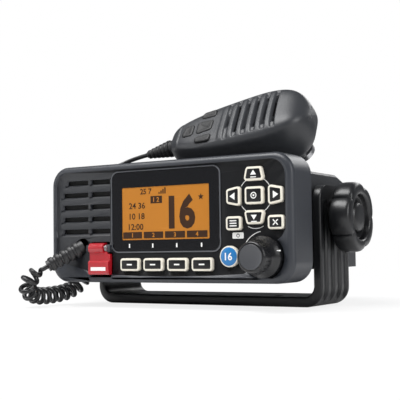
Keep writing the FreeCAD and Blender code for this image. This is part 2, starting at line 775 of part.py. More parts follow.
def mic_origin():
    # The microphone lies on the chassis: its lowest point is one free gap above the top.
    e1, e2, e3 = mic_axes()
    low = 0.0
    body = mic_solid(0.0).cut(mic_back_tool(0.0))
    for p in body.tessellate(0.2)[0]:
        low = min(low, e1.z * p.x + e2.z * p.y + e3.z * p.z)
    return Vector(mic_place.x, mic_place.y, panel_centre_z + chassis_top + free_gap - low)


def mic_placement():
    e1, e2, e3 = mic_axes()
    t = mic_origin()
    return Placement(Matrix(e1.x, e2.x, e3.x, t.x, e1.y, e2.y, e3.y, t.y, e1.z, e2.z, e3.z, t.z, 0, 0, 0, 1))


def to_world(shape):
    shape.Placement = mic_placement().multiply(shape.Placement)
    return shape


def mic_section(z, grow, shrink):
    # An egg outline of arcs: its half width falls from the head to the tail.
    head = mic_head + grow - shrink * 0.9
    tail = mic_tail + grow - shrink * 2.0
    half = mic_half + grow - shrink
    side = [(-tail, 0.46 * half), (-0.62 * tail, 0.86 * half), (0.30 * head, 1.03 * half),
            (head, 0.86 * half)]
    corners = side + [(x, -y) for x, y in reversed(side)]
    return smooth_wire([Vector(x, y, z) for x, y in corners])


def smooth_wire(points):
    # A closed outline with one arc at each corner, as wide as its sides allow.
    count = len(points)
    edges = []
    for i in range(count):
        p = points[i]
        a = points[i - 1].sub(p)
        b = points[(i + 1) % count].sub(p)
        back = 0.46 * min(a.Length, b.Length)
        a.normalize()
        b.normalize()
        half = a.getAngle(b) / 2.0
        start = p.add(Vector(a).multiply(back))
        end = p.add(Vector(b).multiply(back))
        middle = a.add(b)
        middle.normalize()
        radius = back * math.tan(half)
        edges.append((start, p.add(middle.multiply(radius / math.sin(half) - radius)), end))
    wires = []
    for i in range(count):
        start, middle, end = edges[i]
        wires.append(Part.Arc(start, middle, end).toShape())
        wires.append(Part.LineSegment(end, edges[(i + 1) % count][0]).toShape())
    return Part.Wire(wires)


def mic_solid(grow):
    levels = ((grow, 3.2), (-4.2, 0.5), (-mic_seam - 9.0, 0.5), (-mic_depth - grow, 3.4))
    sections = [mic_section(z, grow, shrink) for z, shrink in levels]
    return Part.makeLoft(sections, True, True)


def mic_back_tool(grow):
    # The back leans so that the tail is thinner than the head.
    low = -mic_depth - grow
    points = [Vector(-mic_tail - 10.0, -60.0, low + mic_back_slope), Vector(0.0, -60.0, low),
              Vector(0.0, -60.0, low - 20.0), Vector(-mic_tail - 10.0, -60.0, low - 20.0)]
    return Part.Face(Part.makePolygon(points + points[:1])).extrude(Vector(0, 120.0, 0))


def mic_key_outlines():
    return {"mic_key_up": ([(-36.5, 7.2), (-24.0, 6.6), (-24.6, 12.6), (-33.0, 12.2)], 2.2),
            "mic_key_left": ([(-46.5, -4.4), (-38.2, -5.2), (-38.2, 4.6), (-45.0, 3.6)], 2.2),
            "mic_key_right": ([(-36.2, -5.2), (-25.4, -4.2), (-24.8, 4.2), (-36.2, 4.7)], 2.2),
            "mic_key_down": ([(-36.2, -11.8), (-25.4, -13.2), (-24.2, -7.2), (-35.6, -7.4)], 2.2)}


def mic_prism(points, radius, z0, z1):
    wire = rounded_wire([Vector(x, y, z0) for x, y in points], radius)
    return Part.Face(wire).extrude(Vector(0, 0, z1 - z0))


def ptt_box(extra):
    return box(ptt_left - extra, ptt_right + extra, 8.0, 40.0, -mic_seam - 5.5 - extra, -mic_seam + 5.5 + extra)


def make_mic():
    outer = mic_solid(0.0).cut(mic_back_tool(0.0))
    inner = mic_solid(-mic_wall).cut(mic_back_tool(-mic_wall))
    shell = outer.cut(inner)
    cuts = []
    for i in range(mic_slot_count):
        x = (i - (mic_slot_count - 1) / 2.0) * mic_slot_pitch
        w = mic_slot_width / 2.0
        cuts.append(box(x - w, x + w, -mic_slot_half, mic_slot_half, -0.9, 2.0))
        reach = 4.5 if i == 0 else 10.5
        cuts.append(box(x - 0.2, x + w, -reach, reach, -mic_wall - 1.0, 2.0))
    for points, radius in mic_key_outlines().values():
        cuts.append(mic_prism(grown(points, key_gap), radius, -mic_wall - 2.0, 3.0))
    cuts.append(ptt_box(free_gap))
    cuts.append(rod(mic_boot_r - 0.6 + seat_gap, Vector(-mic_tail + 6.0, 0, -mic_seam + 2.0), Vector(-1, 0, 0), 10.0))
    shell = shell.cut(cuts)
    half = 90.0
    front = shell.common(box(-half, half, -half, half, -mic_seam, 20.0))
    rear = shell.common(box(-half, half, -half, half, -mic_depth - 30.0, -mic_seam))
    stud_hole = rod(2.5, Vector(14.0, 0, -mic_depth - 2.0), Vector(0, 0, 1), 8.0)
    rear = rear.cut(stud_hole)
    parts = {"mic_front_shell": front, "mic_rear_shell": rear}
    for name, (points, radius) in mic_key_outlines().items():
        cap = mic_prism(points, radius, -mic_wall - 0.4, 0.8)
        flange = mic_prism(grown(points, 0.7), radius, -mic_wall - 1.2, -mic_wall - 0.4)
        parts[name] = cap.fuse(flange).removeSplitter()
    lever = mic_solid(1.6).cut(mic_solid(-mic_wall + 0.4)).common(ptt_box(0.0))
    parts["mic_ptt"] = max(lever.Solids, key=lambda s: s.Volume)
    parts["mic_capsule"] = rod(5.0, Vector(0, 0, -mic_wall - 0.2), Vector(0, 0, -1), 6.0)
    board = box(-40.0, 22.0, -9.0, 9.0, -mic_seam - 0.8, -mic_seam + 0.8)
    parts["mic_board"] = board.fuse(rod(4.0, Vector(0, 0, -mic_seam + 0.8), Vector(0, 0, 1),
                                        mic_seam - mic_wall - 7.1)).removeSplitter()
    neck = rod(2.4, Vector(14.0, 0, -mic_depth + 4.0), Vector(0, 0, -1), 10.5)
    button = rod(8.0, Vector(14.0, 0, -mic_depth - 4.5), Vector(0, 0, -1), 3.0)
    parts["mic_hanger_stud"] = button.fuse(neck).removeSplitter()
    z = -mic_seam + 2.0
    boot = ribbed_boot(mic_boot_r, wire_d / 2.0 + 0.7, mic_boot_length, 4, mic_boot_r - 0.6, 3.4)
    boot.rotate(Vector(0, 0, 0), Vector(0, 1, 0), -90)
    boot.translate(Vector(-mic_tail, 0, z))
    parts["mic_boot"] = boot
    return {name: to_world(shape) for name, shape in parts.items()}


# Cord
def boot_direction():
    direction = panel_boot_end.sub(panel_boot_start)
    direction.normalize()
    return direction


def ribbed_boot(r0, r1, length, ribs, root_r, root):
    # A tapering sleeve of stepped ribs along Z, with a plain root below zero.
    body = Part.makeCylinder(root_r, root + 0.5, Vector(0, 0, -root))
    pitch = length / ribs
    for i in range(ribs):
        wide = r0 + (r1 - r0) * i / ribs
        rib = Part.Face(ring_wire(wide, pitch * i)).extrude(Vector(0, 0, 0.6 * pitch))
        neck = Part.Face(ring_wire(wide - rib_depth, pitch * (i + 0.6))).extrude(Vector(0, 0, 0.4 * pitch))
        body = body.fuse([rib, neck])
    return body.removeSplitter()


def ring_wire(r, z):
    points = []
    for i in range(boot_sides):
        a = 2 * math.pi * i / boot_sides
        points.append(Vector(r * math.cos(a), r * math.sin(a), z))
    return Part.makePolygon(points + points[:1])


def make_panel_boot():
    length = panel_boot_end.sub(panel_boot_start).Length
    boot = ribbed_boot(panel_boot_r, panel_boot_r - 0.7, length, 4, boot_root_r, 3.2)
    boot.Placement = Placement(panel_boot_start, FreeCAD.Rotation(Vector(0, 0, 1), boot_direction()))
    return boot


def cord_route():
    # All route points, with straight ends along both boots.
    e1, e2, e3 = mic_axes()
    z = -mic_seam + 2.0
    end = mic_origin().add(Vector(e1).multiply(-mic_tail - mic_boot_length)).add(Vector(e3).multiply(z))
    before = Vector(end).add(Vector(e1).multiply(-11.0))
    return [Vector(panel_boot_end)] + cord_points + [before, end]


def route_pieces(points):
    # Straight runs joined by tangent arcs; each piece is (kind, data, length).
    pieces = []
    at = points[0]
    least = 1e9
    for i in range(1, len(points) - 1):
        p = points[i]
        a = points[i - 1].sub(p)
        b = points[i + 1].sub(p)
        la = a.Length
        lb = b.Length
        a.normalize()
        b.normalize()
        turn = math.pi - a.getAngle(b)
        back = 0.45 * min(la, lb)
        radius = back / math.tan(turn / 2.0)
        least = min(least, radius)
        start = Vector(p).add(Vector(a).multiply(back))
        end = Vector(p).add(Vector(b).multiply(back))
        pieces.append(("line", (Vector(at), start), start.sub(at).Length))
        middle = a.add(b)
        middle.normalize()
        centre = Vector(p).add(Vector(middle).multiply(radius / math.cos(turn / 2.0)))
        pieces.append(("arc", (centre, start.sub(centre), Vector(a).multiply(-1), radius), radius * turn))
        at = end
    pieces.append(("line", (Vector(at), Vector(points[-1])), points[-1].sub(at).Length))
    print("cord: least route radius %.1f mm" % least)
    return pieces


def route_at(pieces, s):
    # Point and direction at the distance s along the route.
    for kind, data, length in pieces:
        if s <= length or (kind, data, length) == pieces[-1]:
            break
        s -= length
    if kind == "line":
        start, end = data
        direction = end.sub(start)
        direction.normalize()
        return start.add(Vector(direction).multiply(s)), direction
    centre, arm, tangent, radius = data
    angle = s / radius
    across = Vector(arm)
    across.normalize()
    point = centre.add(Vector(across).multiply(radius * math.cos(angle)))
    point = point.add(Vector(tangent).multiply(radius * math.sin(angle)))
    direction = Vector(tangent).multiply(math.cos(angle)).add(Vector(across).multiply(-math.sin(angle)))
    return point, direction


def smooth(t):
    t = min(1.0, max(0.0, t))
    return t * t * (3.0 - 2.0 * t)


def bend_radius(pieces, s):
    for kind, data, length in pieces:
        if s <= length:
            return data[3] if kind == "arc" else 1e6
        s -= length
    return 1e6


def curly_centre():
    # Points and directions of the wire. The curls wind round the route, swell from nothing and
    # die away again, and open up in a bend, so that its inner side keeps a gap.
    pieces = route_pieces(cord_route())
    total = sum(p[2] for p in pieces)
    step = 0.05
    start = wire_d
    wound = total - curl_tail - start
    side = None
    turn = 0.0
    fine = []
    steps = int(wound / step)
    for i in range(steps + 1):
        s = start + step * i
        point, direction = route_at(pieces, s)
        if side is None:
            side = direction.cross(Vector(0, 0, 1))
        side = side.sub(Vector(direction).multiply(side.dot(direction)))
        side.normalize()
        up = direction.cross(side)
        radius = bend_radius(pieces, s)
        pitch = max(curl_pitch, (wire_d + curl_gap) * radius / (radius - curl_r))
        if i:
            turn += step / pitch
        ramp = 1.6 * curl_pitch
        r = curl_r * smooth(step * i / ramp) * smooth((wound - step * i) / ramp)
        angle = 2 * math.pi * turn
        offset = Vector(side).multiply(r * math.cos(angle)).add(Vector(up).multiply(r * math.sin(angle)))
        fine.append((turn, point.add(offset)))
    print("cord: %.1f curls" % turn)
    count = int(round(turn * arcs_per_curl))
    points = [fine[0][1]]
    directions = [route_at(pieces, start)[1]]
    at = 0
    for i in range(1, count):
        want = turn * i / count
        while fine[at][0] < want:
            at += 1
        points.append(fine[at][1])
        direction = fine[at + 1][1].sub(fine[at - 1][1])
        direction.normalize()
        directions.append(direction)
    reach = start + step * steps
    points.append(route_at(pieces, reach)[0])
    directions.append(route_at(pieces, reach)[1])
    return pieces, total, points, directions, reach, [p for t, p in fine[::4]]


def biarc(p0, t0, p1, t1):
    # Two arcs from one point and direction to the next, with a common tangent where they meet.
    chord = p1.sub(p0)
    a = 2.0 * (1.0 - t0.dot(t1))
    b = 2.0 * chord.dot(t0.add(t1))
    c = -chord.dot(chord)
    if abs(a) < 1e-9:
        d = -c / b
    else:
        d = (-b + math.sqrt(b * b - 4.0 * a * c)) / (2.0 * a)
    q0 = p0.add(Vector(t0).multiply(d))
    q1 = p1.sub(Vector(t1).multiply(d))
    joint = q0.add(q1).multiply(0.5)
    return [arc_between(p0, t0, joint), arc_between(joint, q1.sub(q0), p1)]


def arc_between(start, tangent, end):
    chord = end.sub(start)
    tangent = Vector(tangent)
    tangent.normalize()
    sine = chord.cross(tangent).Length / chord.Length
    if sine < 1e-4:
        return Part.LineSegment(start, end).toShape()
    across = tangent.sub(Vector(chord).multiply(tangent.dot(chord) / chord.dot(chord)))
    across.normalize()
    half = math.asin(min(1.0, sine))
    rise = chord.Length / 2.0 * math.tan(half / 2.0)
    middle = start.add(Vector(chord).multiply(0.5)).add(Vector(across).multiply(rise))
    return Part.Arc(start, middle, end).toShape()


def fine_length(fine, i, j):
    return sum(fine[k + 1].sub(fine[k]).Length for k in range(i, j))


def make_cord():
    pieces, total, points, directions, reach, fine = curly_centre()
    edges = [Part.LineSegment(route_at(pieces, 0.0)[0], points[0]).toShape()]
    length = edges[0].Length
    for i in range(len(points) - 1):
        edges += biarc(points[i], directions[i], points[i + 1], directions[i + 1])
    s = 0.0
    for kind, data, piece_length in pieces:
        start_s = max(s, reach)
        end_s = s + piece_length
        if end_s - start_s > 1e-3:
            a = route_at(pieces, start_s + 1e-6)[0] if start_s > s else route_at(pieces, start_s)[0]
            a = points[-1] if start_s == reach else route_at([(kind, data, piece_length)], start_s - s)[0]
            b = route_at([(kind, data, piece_length)], piece_length)[0]
            if kind == "line":
                edges.append(Part.LineSegment(a, b).toShape())
            else:
                mid = route_at([(kind, data, piece_length)], (start_s - s + piece_length) / 2.0)[0]
                edges.append(Part.Arc(a, mid, b).toShape())
        s = end_s
    length = sum(e.Length for e in edges)
    path = Part.Wire(edges)
    start = edges[0].Vertexes[0].Point
    d = Vector(points[0]).sub(start)
    d.normalize()
    side = d.cross(Vector(0, 0, 1))
    side.normalize()
    up = d.cross(side)
    sides = wire_sides
    ring = []
    r = wire_d / 2.0
    for i in range(sides):
        a = 2 * math.pi * i / sides
        ring.append(start.add(Vector(side).multiply(r * math.cos(a))).add(Vector(up).multiply(r * math.sin(a))))
    profile = Part.makePolygon(ring + ring[:1])
    tube = path.makePipeShell([profile], True, False)
    section = sides / 2.0 * r * r * math.sin(2 * math.pi / sides)
    print("cord: length %.1f route %.1f volume %.1f section x length %.1f valid %s" % (
        length, total, tube.Volume, section * length, tube.isValid()))
    least = 1e9
    for i in range(0, len(fine), 2):
        for j in range(i + 8, min(i + 90, len(fine))):
            apart = fine[i].sub(fine[j]).Length
            if apart < least and fine_length(fine, i, j) > 2.5 * wire_d:
                least = apart
    print("cord: least gap of the tube to itself %.2f mm" % (least - wire_d))
    return tube


def build_all():
    nodes = {"bracket": make_yoke(), "front_bezel": make_bezel(), "display_lens": make_lens(),
             "lcd_module": make_lcd(), "keypad_mat": make_keypad_mat(), "front_board": make_front_board(),
             "dial_encoder": make_encoder(), "dial_shaft": make_dial_shaft(), "dial_knob": make_dial(),
             "dial_cap": make_dial_cap(), "distress_cover": make_cover(), "distress_pin": make_pin(),
             "distress_spring": make_spring(), "distress_button": make_distress_key(),
             "speaker": make_speaker(), "speaker_cloth": make_speaker_cloth(), "front_gasket": make_gasket(),
             "rear_frame": make_rear_frame(), "rear_chassis": make_chassis(), "main_board": make_main_board(), "antenna_socket": make_antenna_socket(),
             "antenna_insulator": make_antenna_insulator(), "antenna_contact": make_antenna_contact(),
             "power_gland": make_gland(-34.0, 5.0), "lead_gland": make_gland(34.0, 4.0),
             "panel_boot": make_panel_boot(), "mic_cord": make_cord()}
    for side, sign in (("left", -1), ("right", 1)):
        nodes["star_knob_" + side] = make_star_knob(sign)
        nodes["knob_stud_" + side] = make_stud(sign)
        nodes["washer_" + side] = make_washer(sign)
        nodes["spacer_" + side] = make_spacer(sign)
    nodes.update(make_keys())
    print("mic origin", mic_origin())
    nodes.update(make_mic())
    return nodes


def main():
    os.makedirs("parts", exist_ok=True)
    nodes = build_all()
    for name, shape in nodes.items():
        shape.exportStep("parts/%s.step" % name)
        bounds = shape.BoundBox
        print("%-18s solids %d valid %s x %.1f %.1f y %.1f %.1f z %.1f %.1f" % (
            name, len(shape.Solids), shape.isValid(), bounds.XMin, bounds.XMax,
            bounds.YMin, bounds.YMax, bounds.ZMin, bounds.ZMax))
    print("nodes", len(nodes))


main()
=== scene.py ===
import math

import bmesh
import bpy
import numpy as np
from mathutils import Matrix, Vector


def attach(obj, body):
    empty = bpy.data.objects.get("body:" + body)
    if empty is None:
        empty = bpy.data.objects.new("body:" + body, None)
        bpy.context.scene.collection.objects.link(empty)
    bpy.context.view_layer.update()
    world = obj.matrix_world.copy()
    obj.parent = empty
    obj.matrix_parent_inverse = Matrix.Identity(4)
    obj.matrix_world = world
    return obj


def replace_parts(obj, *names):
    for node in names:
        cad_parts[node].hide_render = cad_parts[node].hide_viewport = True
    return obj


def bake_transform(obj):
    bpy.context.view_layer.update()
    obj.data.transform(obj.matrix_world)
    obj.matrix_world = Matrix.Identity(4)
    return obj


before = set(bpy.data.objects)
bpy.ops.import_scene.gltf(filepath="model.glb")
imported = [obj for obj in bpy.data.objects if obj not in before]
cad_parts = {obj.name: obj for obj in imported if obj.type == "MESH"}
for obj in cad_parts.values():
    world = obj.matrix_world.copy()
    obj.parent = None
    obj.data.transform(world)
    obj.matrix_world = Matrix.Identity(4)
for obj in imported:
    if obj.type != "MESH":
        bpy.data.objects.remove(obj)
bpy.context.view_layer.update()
mm = 0.001
scene = bpy.context.scene


# View and light

cameraSettings = {"place": (267.8, -454.8, 32.1), "yaw": 31.63, "pitch": 3.18, "roll": -0.80, "focal": 884.16,
                  "pixels": 400.0, "sensor": 36.0}
stageSettings = {"skyColour": (0.93, 0.95, 1.0, 1), "skyStrength": 0.20, "floorHalf": 6.0,
                 "floorColour": (0.86, 0.86, 0.86, 1), "floorRough": 0.9, "shadowNear": 0.12, "shadowFar": 0.45,
                 "whiteNear": 0.82}
# Name, place, target, size and power of each light.
lightRows = (("topLight", (-0.2, -0.42, 0.95), (0, -0.02, 0.05), (0.9, 0.5), 14.0),
             ("leftLight", (-0.95, -0.75, 0.35), (-0.02, -0.04, 0.05), (0.25, 0.7), 2.2),
             ("rightLight", (0.95, -0.35, 0.45), (0.07, 0, 0.05), (0.2, 0.6), 4.4),
             ("rearLight", (0.2, 0.9, 0.6), (0, 0, 0.08), (0.9, 0.3), 3.5))


def addObject(name, data):
    thing = bpy.data.objects.new(name, data)
    scene.collection.objects.link(thing)
    return thing


def setInputs(node, values):
    for name, value in values.items():
        node.inputs[name].default_value = value
    return node


def makeCamera(settings):
    yaw, pitch, roll = (math.radians(settings[k]) for k in ("yaw", "pitch", "roll"))
    data = bpy.data.cameras.new("camera")
    data.sensor_width = settings["sensor"]
    data.lens = settings["sensor"] * settings["focal"] / settings["pixels"]
    data.clip_start = 0.02
    data.clip_end = 50.0
    camera = addObject("camera", data)
    turn = (Matrix.Rotation(yaw, 4, "Z") @ Matrix.Rotation(math.pi / 2 + pitch, 4, "X")
            @ Matrix.Rotation(roll, 4, "Z"))
    camera.matrix_world = Matrix.Translation(Vector(settings["place"]) * mm) @ turn
    scene.camera = camera


def areaLight(name, place, target, size, power):
    data = bpy.data.lights.new(name, "AREA")
    data.shape = "RECTANGLE"
    data.size, data.size_y = size
    data.energy = power
    light = addObject(name, data)
    light.location = Vector(place)
    light.rotation_mode = "QUATERNION"
    light.rotation_quaternion = (Vector(target) - Vector(place)).to_track_quat("-Z", "Y")


def makeWorld(settings):
    # A soft sky lights the object, and the camera sees plain white behind it.
    world = bpy.data.worlds.new("studio")
    scene.world = world
    world.use_nodes = True
    nodes, links = world.node_tree.nodes, world.node_tree.links
    nodes.clear()
    out = nodes.new("ShaderNodeOutputWorld")
    sky = {"Color": settings["skyColour"], "Strength": settings["skyStrength"]}
    soft = setInputs(nodes.new("ShaderNodeBackground"), sky)
    white = setInputs(nodes.new("ShaderNodeBackground"), {"Color": (1, 1, 1, 1)})
    path = nodes.new("ShaderNodeLightPath")
    mix = nodes.new("ShaderNodeMixShader")
    links.new(path.outputs["Is Camera Ray"], mix.inputs[0])
    links.new(soft.outputs[0], mix.inputs[1])
    links.new(white.outputs[0], mix.inputs[2])
    links.new(mix.outputs[0], out.inputs["Surface"])


def floorMaterial(settings):
    # Seen by the camera, the floor is all white far off, with a soft shadow close by.
    mat = bpy.data.materials.new("floorWhite")
    mat.use_nodes = True
    nodes, links = mat.node_tree.nodes, mat.node_tree.links
    base = nodes["Principled BSDF"]
    setInputs(base, {"Base Color": settings["floorColour"], "Roughness": settings["floorRough"]})
    glow = setInputs(nodes.new("ShaderNodeEmission"), {"Strength": 1.0})
    path = nodes.new("ShaderNodeLightPath")
    where = nodes.new("ShaderNodeTexCoord")
    away = nodes.new("ShaderNodeVectorMath")
    away.operation = "LENGTH"
    fade = setInputs(nodes.new("ShaderNodeMapRange"), {
        "From Min": settings["shadowNear"], "From Max": settings["shadowFar"], "To Min": settings["whiteNear"],
        "To Max": 1.0})
    part = nodes.new("ShaderNodeMath")
    part.operation = "MULTIPLY"
    mix = nodes.new("ShaderNodeMixShader")
    links.new(where.outputs["Object"], away.inputs[0])
    links.new(away.outputs["Value"], fade.inputs["Value"])
    links.new(fade.outputs[0], part.inputs[1])
    links.new(path.outputs["Is Camera Ray"], part.inputs[0])
    links.new(part.outputs[0], mix.inputs[0])
    links.new(base.outputs[0], mix.inputs[1])
    links.new(glow.outputs[0], mix.inputs[2])
    links.new(mix.outputs[0], nodes["Material Output"].inputs["Surface"])
    return mat


def makeFloor(settings):
    half = settings["floorHalf"]
    me = bpy.data.meshes.new("floor")
    me.from_pydata([(-half, -half, 0), (half, -half, 0), (half, half, 0), (-half, half, 0)], [], [(0, 1, 2, 3)])
    me.materials.append(floorMaterial(settings))
    addObject("floor", me)


scene.view_settings.view_transform = "Standard"
makeCamera(cameraSettings)
makeWorld(stageSettings)
makeFloor(stageSettings)
for row in lightRows:
    areaLight(*row)
print("stage done")


# Materials

def surfaceGroup():
    # One group for every finish: slow patches, fine grain and sparse scratches, each from 0 to 1.
    group = bpy.data.node_groups.new("surfaceDetail", "ShaderNodeTree")
    face = group.interface
    face.new_socket("Grain Scale", in_out="INPUT", socket_type="NodeSocketFloat")
    face.new_socket("Patch Scale", in_out="INPUT", socket_type="NodeSocketFloat")
    for name in ("Patches", "Grain", "Scratches"):
        face.new_socket(name, in_out="OUTPUT", socket_type="NodeSocketFloat")
    nodes, links = group.nodes, group.links
    inside = nodes.new("NodeGroupInput")
    outside = nodes.new("NodeGroupOutput")
    where = nodes.new("ShaderNodeTexCoord")
    slow = setInputs(nodes.new("ShaderNodeTexNoise"), {"Detail": 4.0})
    fine = setInputs(nodes.new("ShaderNodeTexNoise"), {"Detail": 2.5, "Roughness": 0.6})
    stretch = setInputs(nodes.new("ShaderNodeMapping"), {"Scale": (60, 60, 900), "Rotation": (0.6, 0.35, 0.8)})
    lines = setInputs(nodes.new("ShaderNodeTexNoise"), {"Scale": 1.0, "Detail": 3.0})
    cut = setInputs(nodes.new("ShaderNodeMapRange"), {"From Min": 0.66, "From Max": 0.76})
    for texture, scale in ((slow, "Patch Scale"), (fine, "Grain Scale")):
        links.new(where.outputs["Object"], texture.inputs["Vector"])
        links.new(inside.outputs[scale], texture.inputs["Scale"])
    links.new(where.outputs["Object"], stretch.inputs["Vector"])
    links.new(stretch.outputs[0], lines.inputs["Vector"])
    links.new(lines.outputs["Fac"], cut.inputs["Value"])
    links.new(slow.outputs["Fac"], outside.inputs["Patches"])
    links.new(fine.outputs["Fac"], outside.inputs["Grain"])
    links.new(cut.outputs[0], outside.inputs["Scratches"])
    return group


detailGroup = surfaceGroup()


def finish(name, colour, rough, grain=1400.0, depth=0.04, patch=45.0, wear=0.15, metal=0.0, coat=0.0,
           spread=0.12, emit=None, specular=0.5):
    # Slow patches vary the colour and the gloss, scratches lighten it, and the grain is a bump of depth in mm.
    mat = bpy.data.materials.new(name)
    mat.use_nodes = True
    nodes, links = mat.node_tree.nodes, mat.node_tree.links
    shader = nodes["Principled BSDF"]
    setInputs(shader, {"Metallic": metal, "Coat Weight": coat, "Coat Roughness": 0.08,
                       "Specular IOR Level": specular})
    detail = nodes.new("ShaderNodeGroup")
    detail.node_tree = detailGroup
    setInputs(detail, {"Grain Scale": grain, "Patch Scale": patch})
    tint = nodes.new("ShaderNodeMix")
    tint.data_type = "RGBA"
    setInputs(tint, {"A": tuple(c * (1 - spread) for c in colour) + (1,),
                     "B": tuple(min(1.0, c * (1 + spread)) for c in colour) + (1,)})
    links.new(detail.outputs["Patches"], tint.inputs["Factor"])
    worn = nodes.new("ShaderNodeMix")
    worn.data_type = "RGBA"
    setInputs(worn, {"B": tuple(min(1.0, c * 1.5 + 0.02) for c in colour) + (1,)})
    part = nodes.new("ShaderNodeMath")
    part.operation = "MULTIPLY"
    setInputs(part, {1: wear})
    links.new(detail.outputs["Scratches"], part.inputs[0])
    links.new(part.outputs[0], worn.inputs["Factor"])
    links.new(tint.outputs["Result"], worn.inputs["A"])
    links.new(worn.outputs["Result"], shader.inputs["Base Color"])
    span = {"To Min": rough * 0.85, "To Max": min(1.0, rough * 1.2)}
    gloss = setInputs(nodes.new("ShaderNodeMapRange"), span)
    links.new(detail.outputs["Patches"], gloss.inputs["Value"])
    links.new(gloss.outputs[0], shader.inputs["Roughness"])
    grains = setInputs(nodes.new("ShaderNodeBump"), {"Strength": 0.5, "Distance": depth * mm})
    links.new(detail.outputs["Grain"], grains.inputs["Height"])
    links.new(grains.outputs[0], shader.inputs["Normal"])
    if emit:
        setInputs(shader, {"Emission Strength": emit})
        links.new(worn.outputs["Result"], shader.inputs["Emission Color"])
    return mat


bezelMat = finish("bezelGrey", (0.024, 0.027, 0.034), 0.40, grain=1800, depth=0.05)
chassisMat = finish("chassisGrey", (0.022, 0.024, 0.028), 0.45, grain=1500, depth=0.06)
bracketMat = finish("bracketBlack", (0.007, 0.0074, 0.0086), 0.34, grain=1500, depth=0.05)
panelMat = finish("panelBlack", (0.0045, 0.0049, 0.006), 0.46, grain=1800, depth=0.04, specular=0.2)
speakerMat = finish("speakerGrey", (0.016, 0.0175, 0.021), 0.42, grain=1800, depth=0.05)
lipMat = finish("lipGrey", (0.085, 0.09, 0.10), 0.35, grain=1500, depth=0.02)
knobMat = finish("knobBlack", (0.0065, 0.0069, 0.008), 0.32, grain=1600, depth=0.03)
dialMat = finish("dialBlack", (0.006, 0.006, 0.007), 0.26, grain=1500, depth=0.02)
capMat = finish("dialGrey", (0.050, 0.052, 0.058), 0.36, grain=900, depth=0.02)
micMat = finish("micGrey", (0.026, 0.028, 0.032), 0.40, grain=2000, depth=0.06)
# Near-black, rough and dull: painted shade for the depth of the face's open slots.
micSlitShadeMat = finish("micSlitShade", (0.0015, 0.0015, 0.0016), 0.7, specular=0.1)
micKeyMat = finish("micRubber", (0.0035, 0.0038, 0.0044), 0.5, grain=2200, depth=0.03)
rubberMat = finish("rubberBlack", (0.010, 0.010, 0.011), 0.42, grain=2000, depth=0.04)
cordMat = finish("cordBlack", (0.009, 0.009, 0.010), 0.33, grain=1200, depth=0.02)
clothMat = finish("clothBlack", (0.004, 0.004, 0.004), 0.9, grain=2600, depth=0.1)
creamMat = finish("keyCream", (0.74, 0.70, 0.60), 0.42, grain=1500, depth=0.02, spread=0.05)
keyMat = finish("keyBlack", (0.005, 0.005, 0.006), 0.36, grain=1800, depth=0.02, specular=0.3)
blueMat = finish("keyBlue", (0.010, 0.165, 0.43), 0.33, grain=1500, depth=0.02)
redMat = finish("coverRed", (0.40, 0.008, 0.016), 0.26, grain=1400, depth=0.02, coat=0.5)
# The white of the print, and also of the painted highlight on the dial's skirt.
printAndHighlightMat = finish("printAndHighlightWhite", (0.82, 0.82, 0.80), 0.5, depth=0.01, spread=0.03)
glassMat = finish("lensBlack", (0.004, 0.004, 0.005), 0.08, grain=500, depth=0.003, coat=0.6, wear=0.02)
amberMat = finish("lcdAmber", (0.4, 0.15, 0.016), 0.42, depth=0.005, patch=30, spread=0.05, emit=0.07,
                  specular=0.2)
figureMat = finish("lcdBrown", (0.035, 0.014, 0.005), 0.45, depth=0.005, specular=0.2)
steelMat = finish("steel", (0.45, 0.45, 0.46), 0.3, metal=1.0, depth=0.02)
brassMat = finish("plated", (0.60, 0.57, 0.50), 0.3, metal=1.0, depth=0.02)
paleMat = finish("palePlastic", (0.65, 0.65, 0.62), 0.5)
boardMat = finish("boardGreen", (0.02, 0.09, 0.045), 0.4)
print("materials done")


# Mesh helpers

def outwardMesh(name, verts, faces):
    me = bpy.data.meshes.new(name)
    me.from_pydata(np.asarray(verts, float).tolist(), [], faces)
    bm = bmesh.new()
    bm.from_mesh(me)
    bmesh.ops.recalc_face_normals(bm, faces=bm.faces)
    bm.to_mesh(me)
    bm.free()
    return me


def applyModifiers(piece):
    piece.data = bpy.data.meshes.new_from_object(piece.evaluated_get(bpy.context.evaluated_depsgraph_get()))
    piece.modifiers.clear()


def addMesh(name, verts, faces, mat, body, sharp=38.0, slot=None):
    # A smooth piece with its sharp edges marked, riding on the body. slot is not used.
    me = outwardMesh(name, verts, faces)
    me.polygons.foreach_set("use_smooth", np.ones(len(me.polygons), bool))
    me.set_sharp_from_angle(angle=math.radians(sharp))
    me.materials.append(mat)
    piece = addObject(name, me)
    if body:
        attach(piece, body)
    return piece


def ringFaces(rows, count, capStart=True, capEnd=True, start=0, closed=True):
    # Quads between neighbouring rings of points, with a flat cap at either end.
    i, j = np.meshgrid(np.arange(rows - 1), np.arange(count if closed else count - 1), indexing="ij")
    k = (j + 1) % count
    quads = np.stack([i * count + j, i * count + k, (i + 1) * count + k, (i + 1) * count + j], -1) + start
    faces = quads.reshape(-1, 4).tolist()
    if capStart:
        faces.append((np.arange(count)[::-1] + start).tolist())
    if capEnd:
        faces.append((np.arange(count) + (rows - 1) * count + start).tolist())
    return faces


def joined(parts):
    # Several (verts, faces) pairs in one.
    verts, faces, base = [], [], 0
    for v, f in parts:
        v = np.asarray(v, float).reshape(-1, 3)
        verts.append(v)
        faces += [[n + base for n in face] for face in f]
        base += len(v)
    return np.vstack(verts), faces


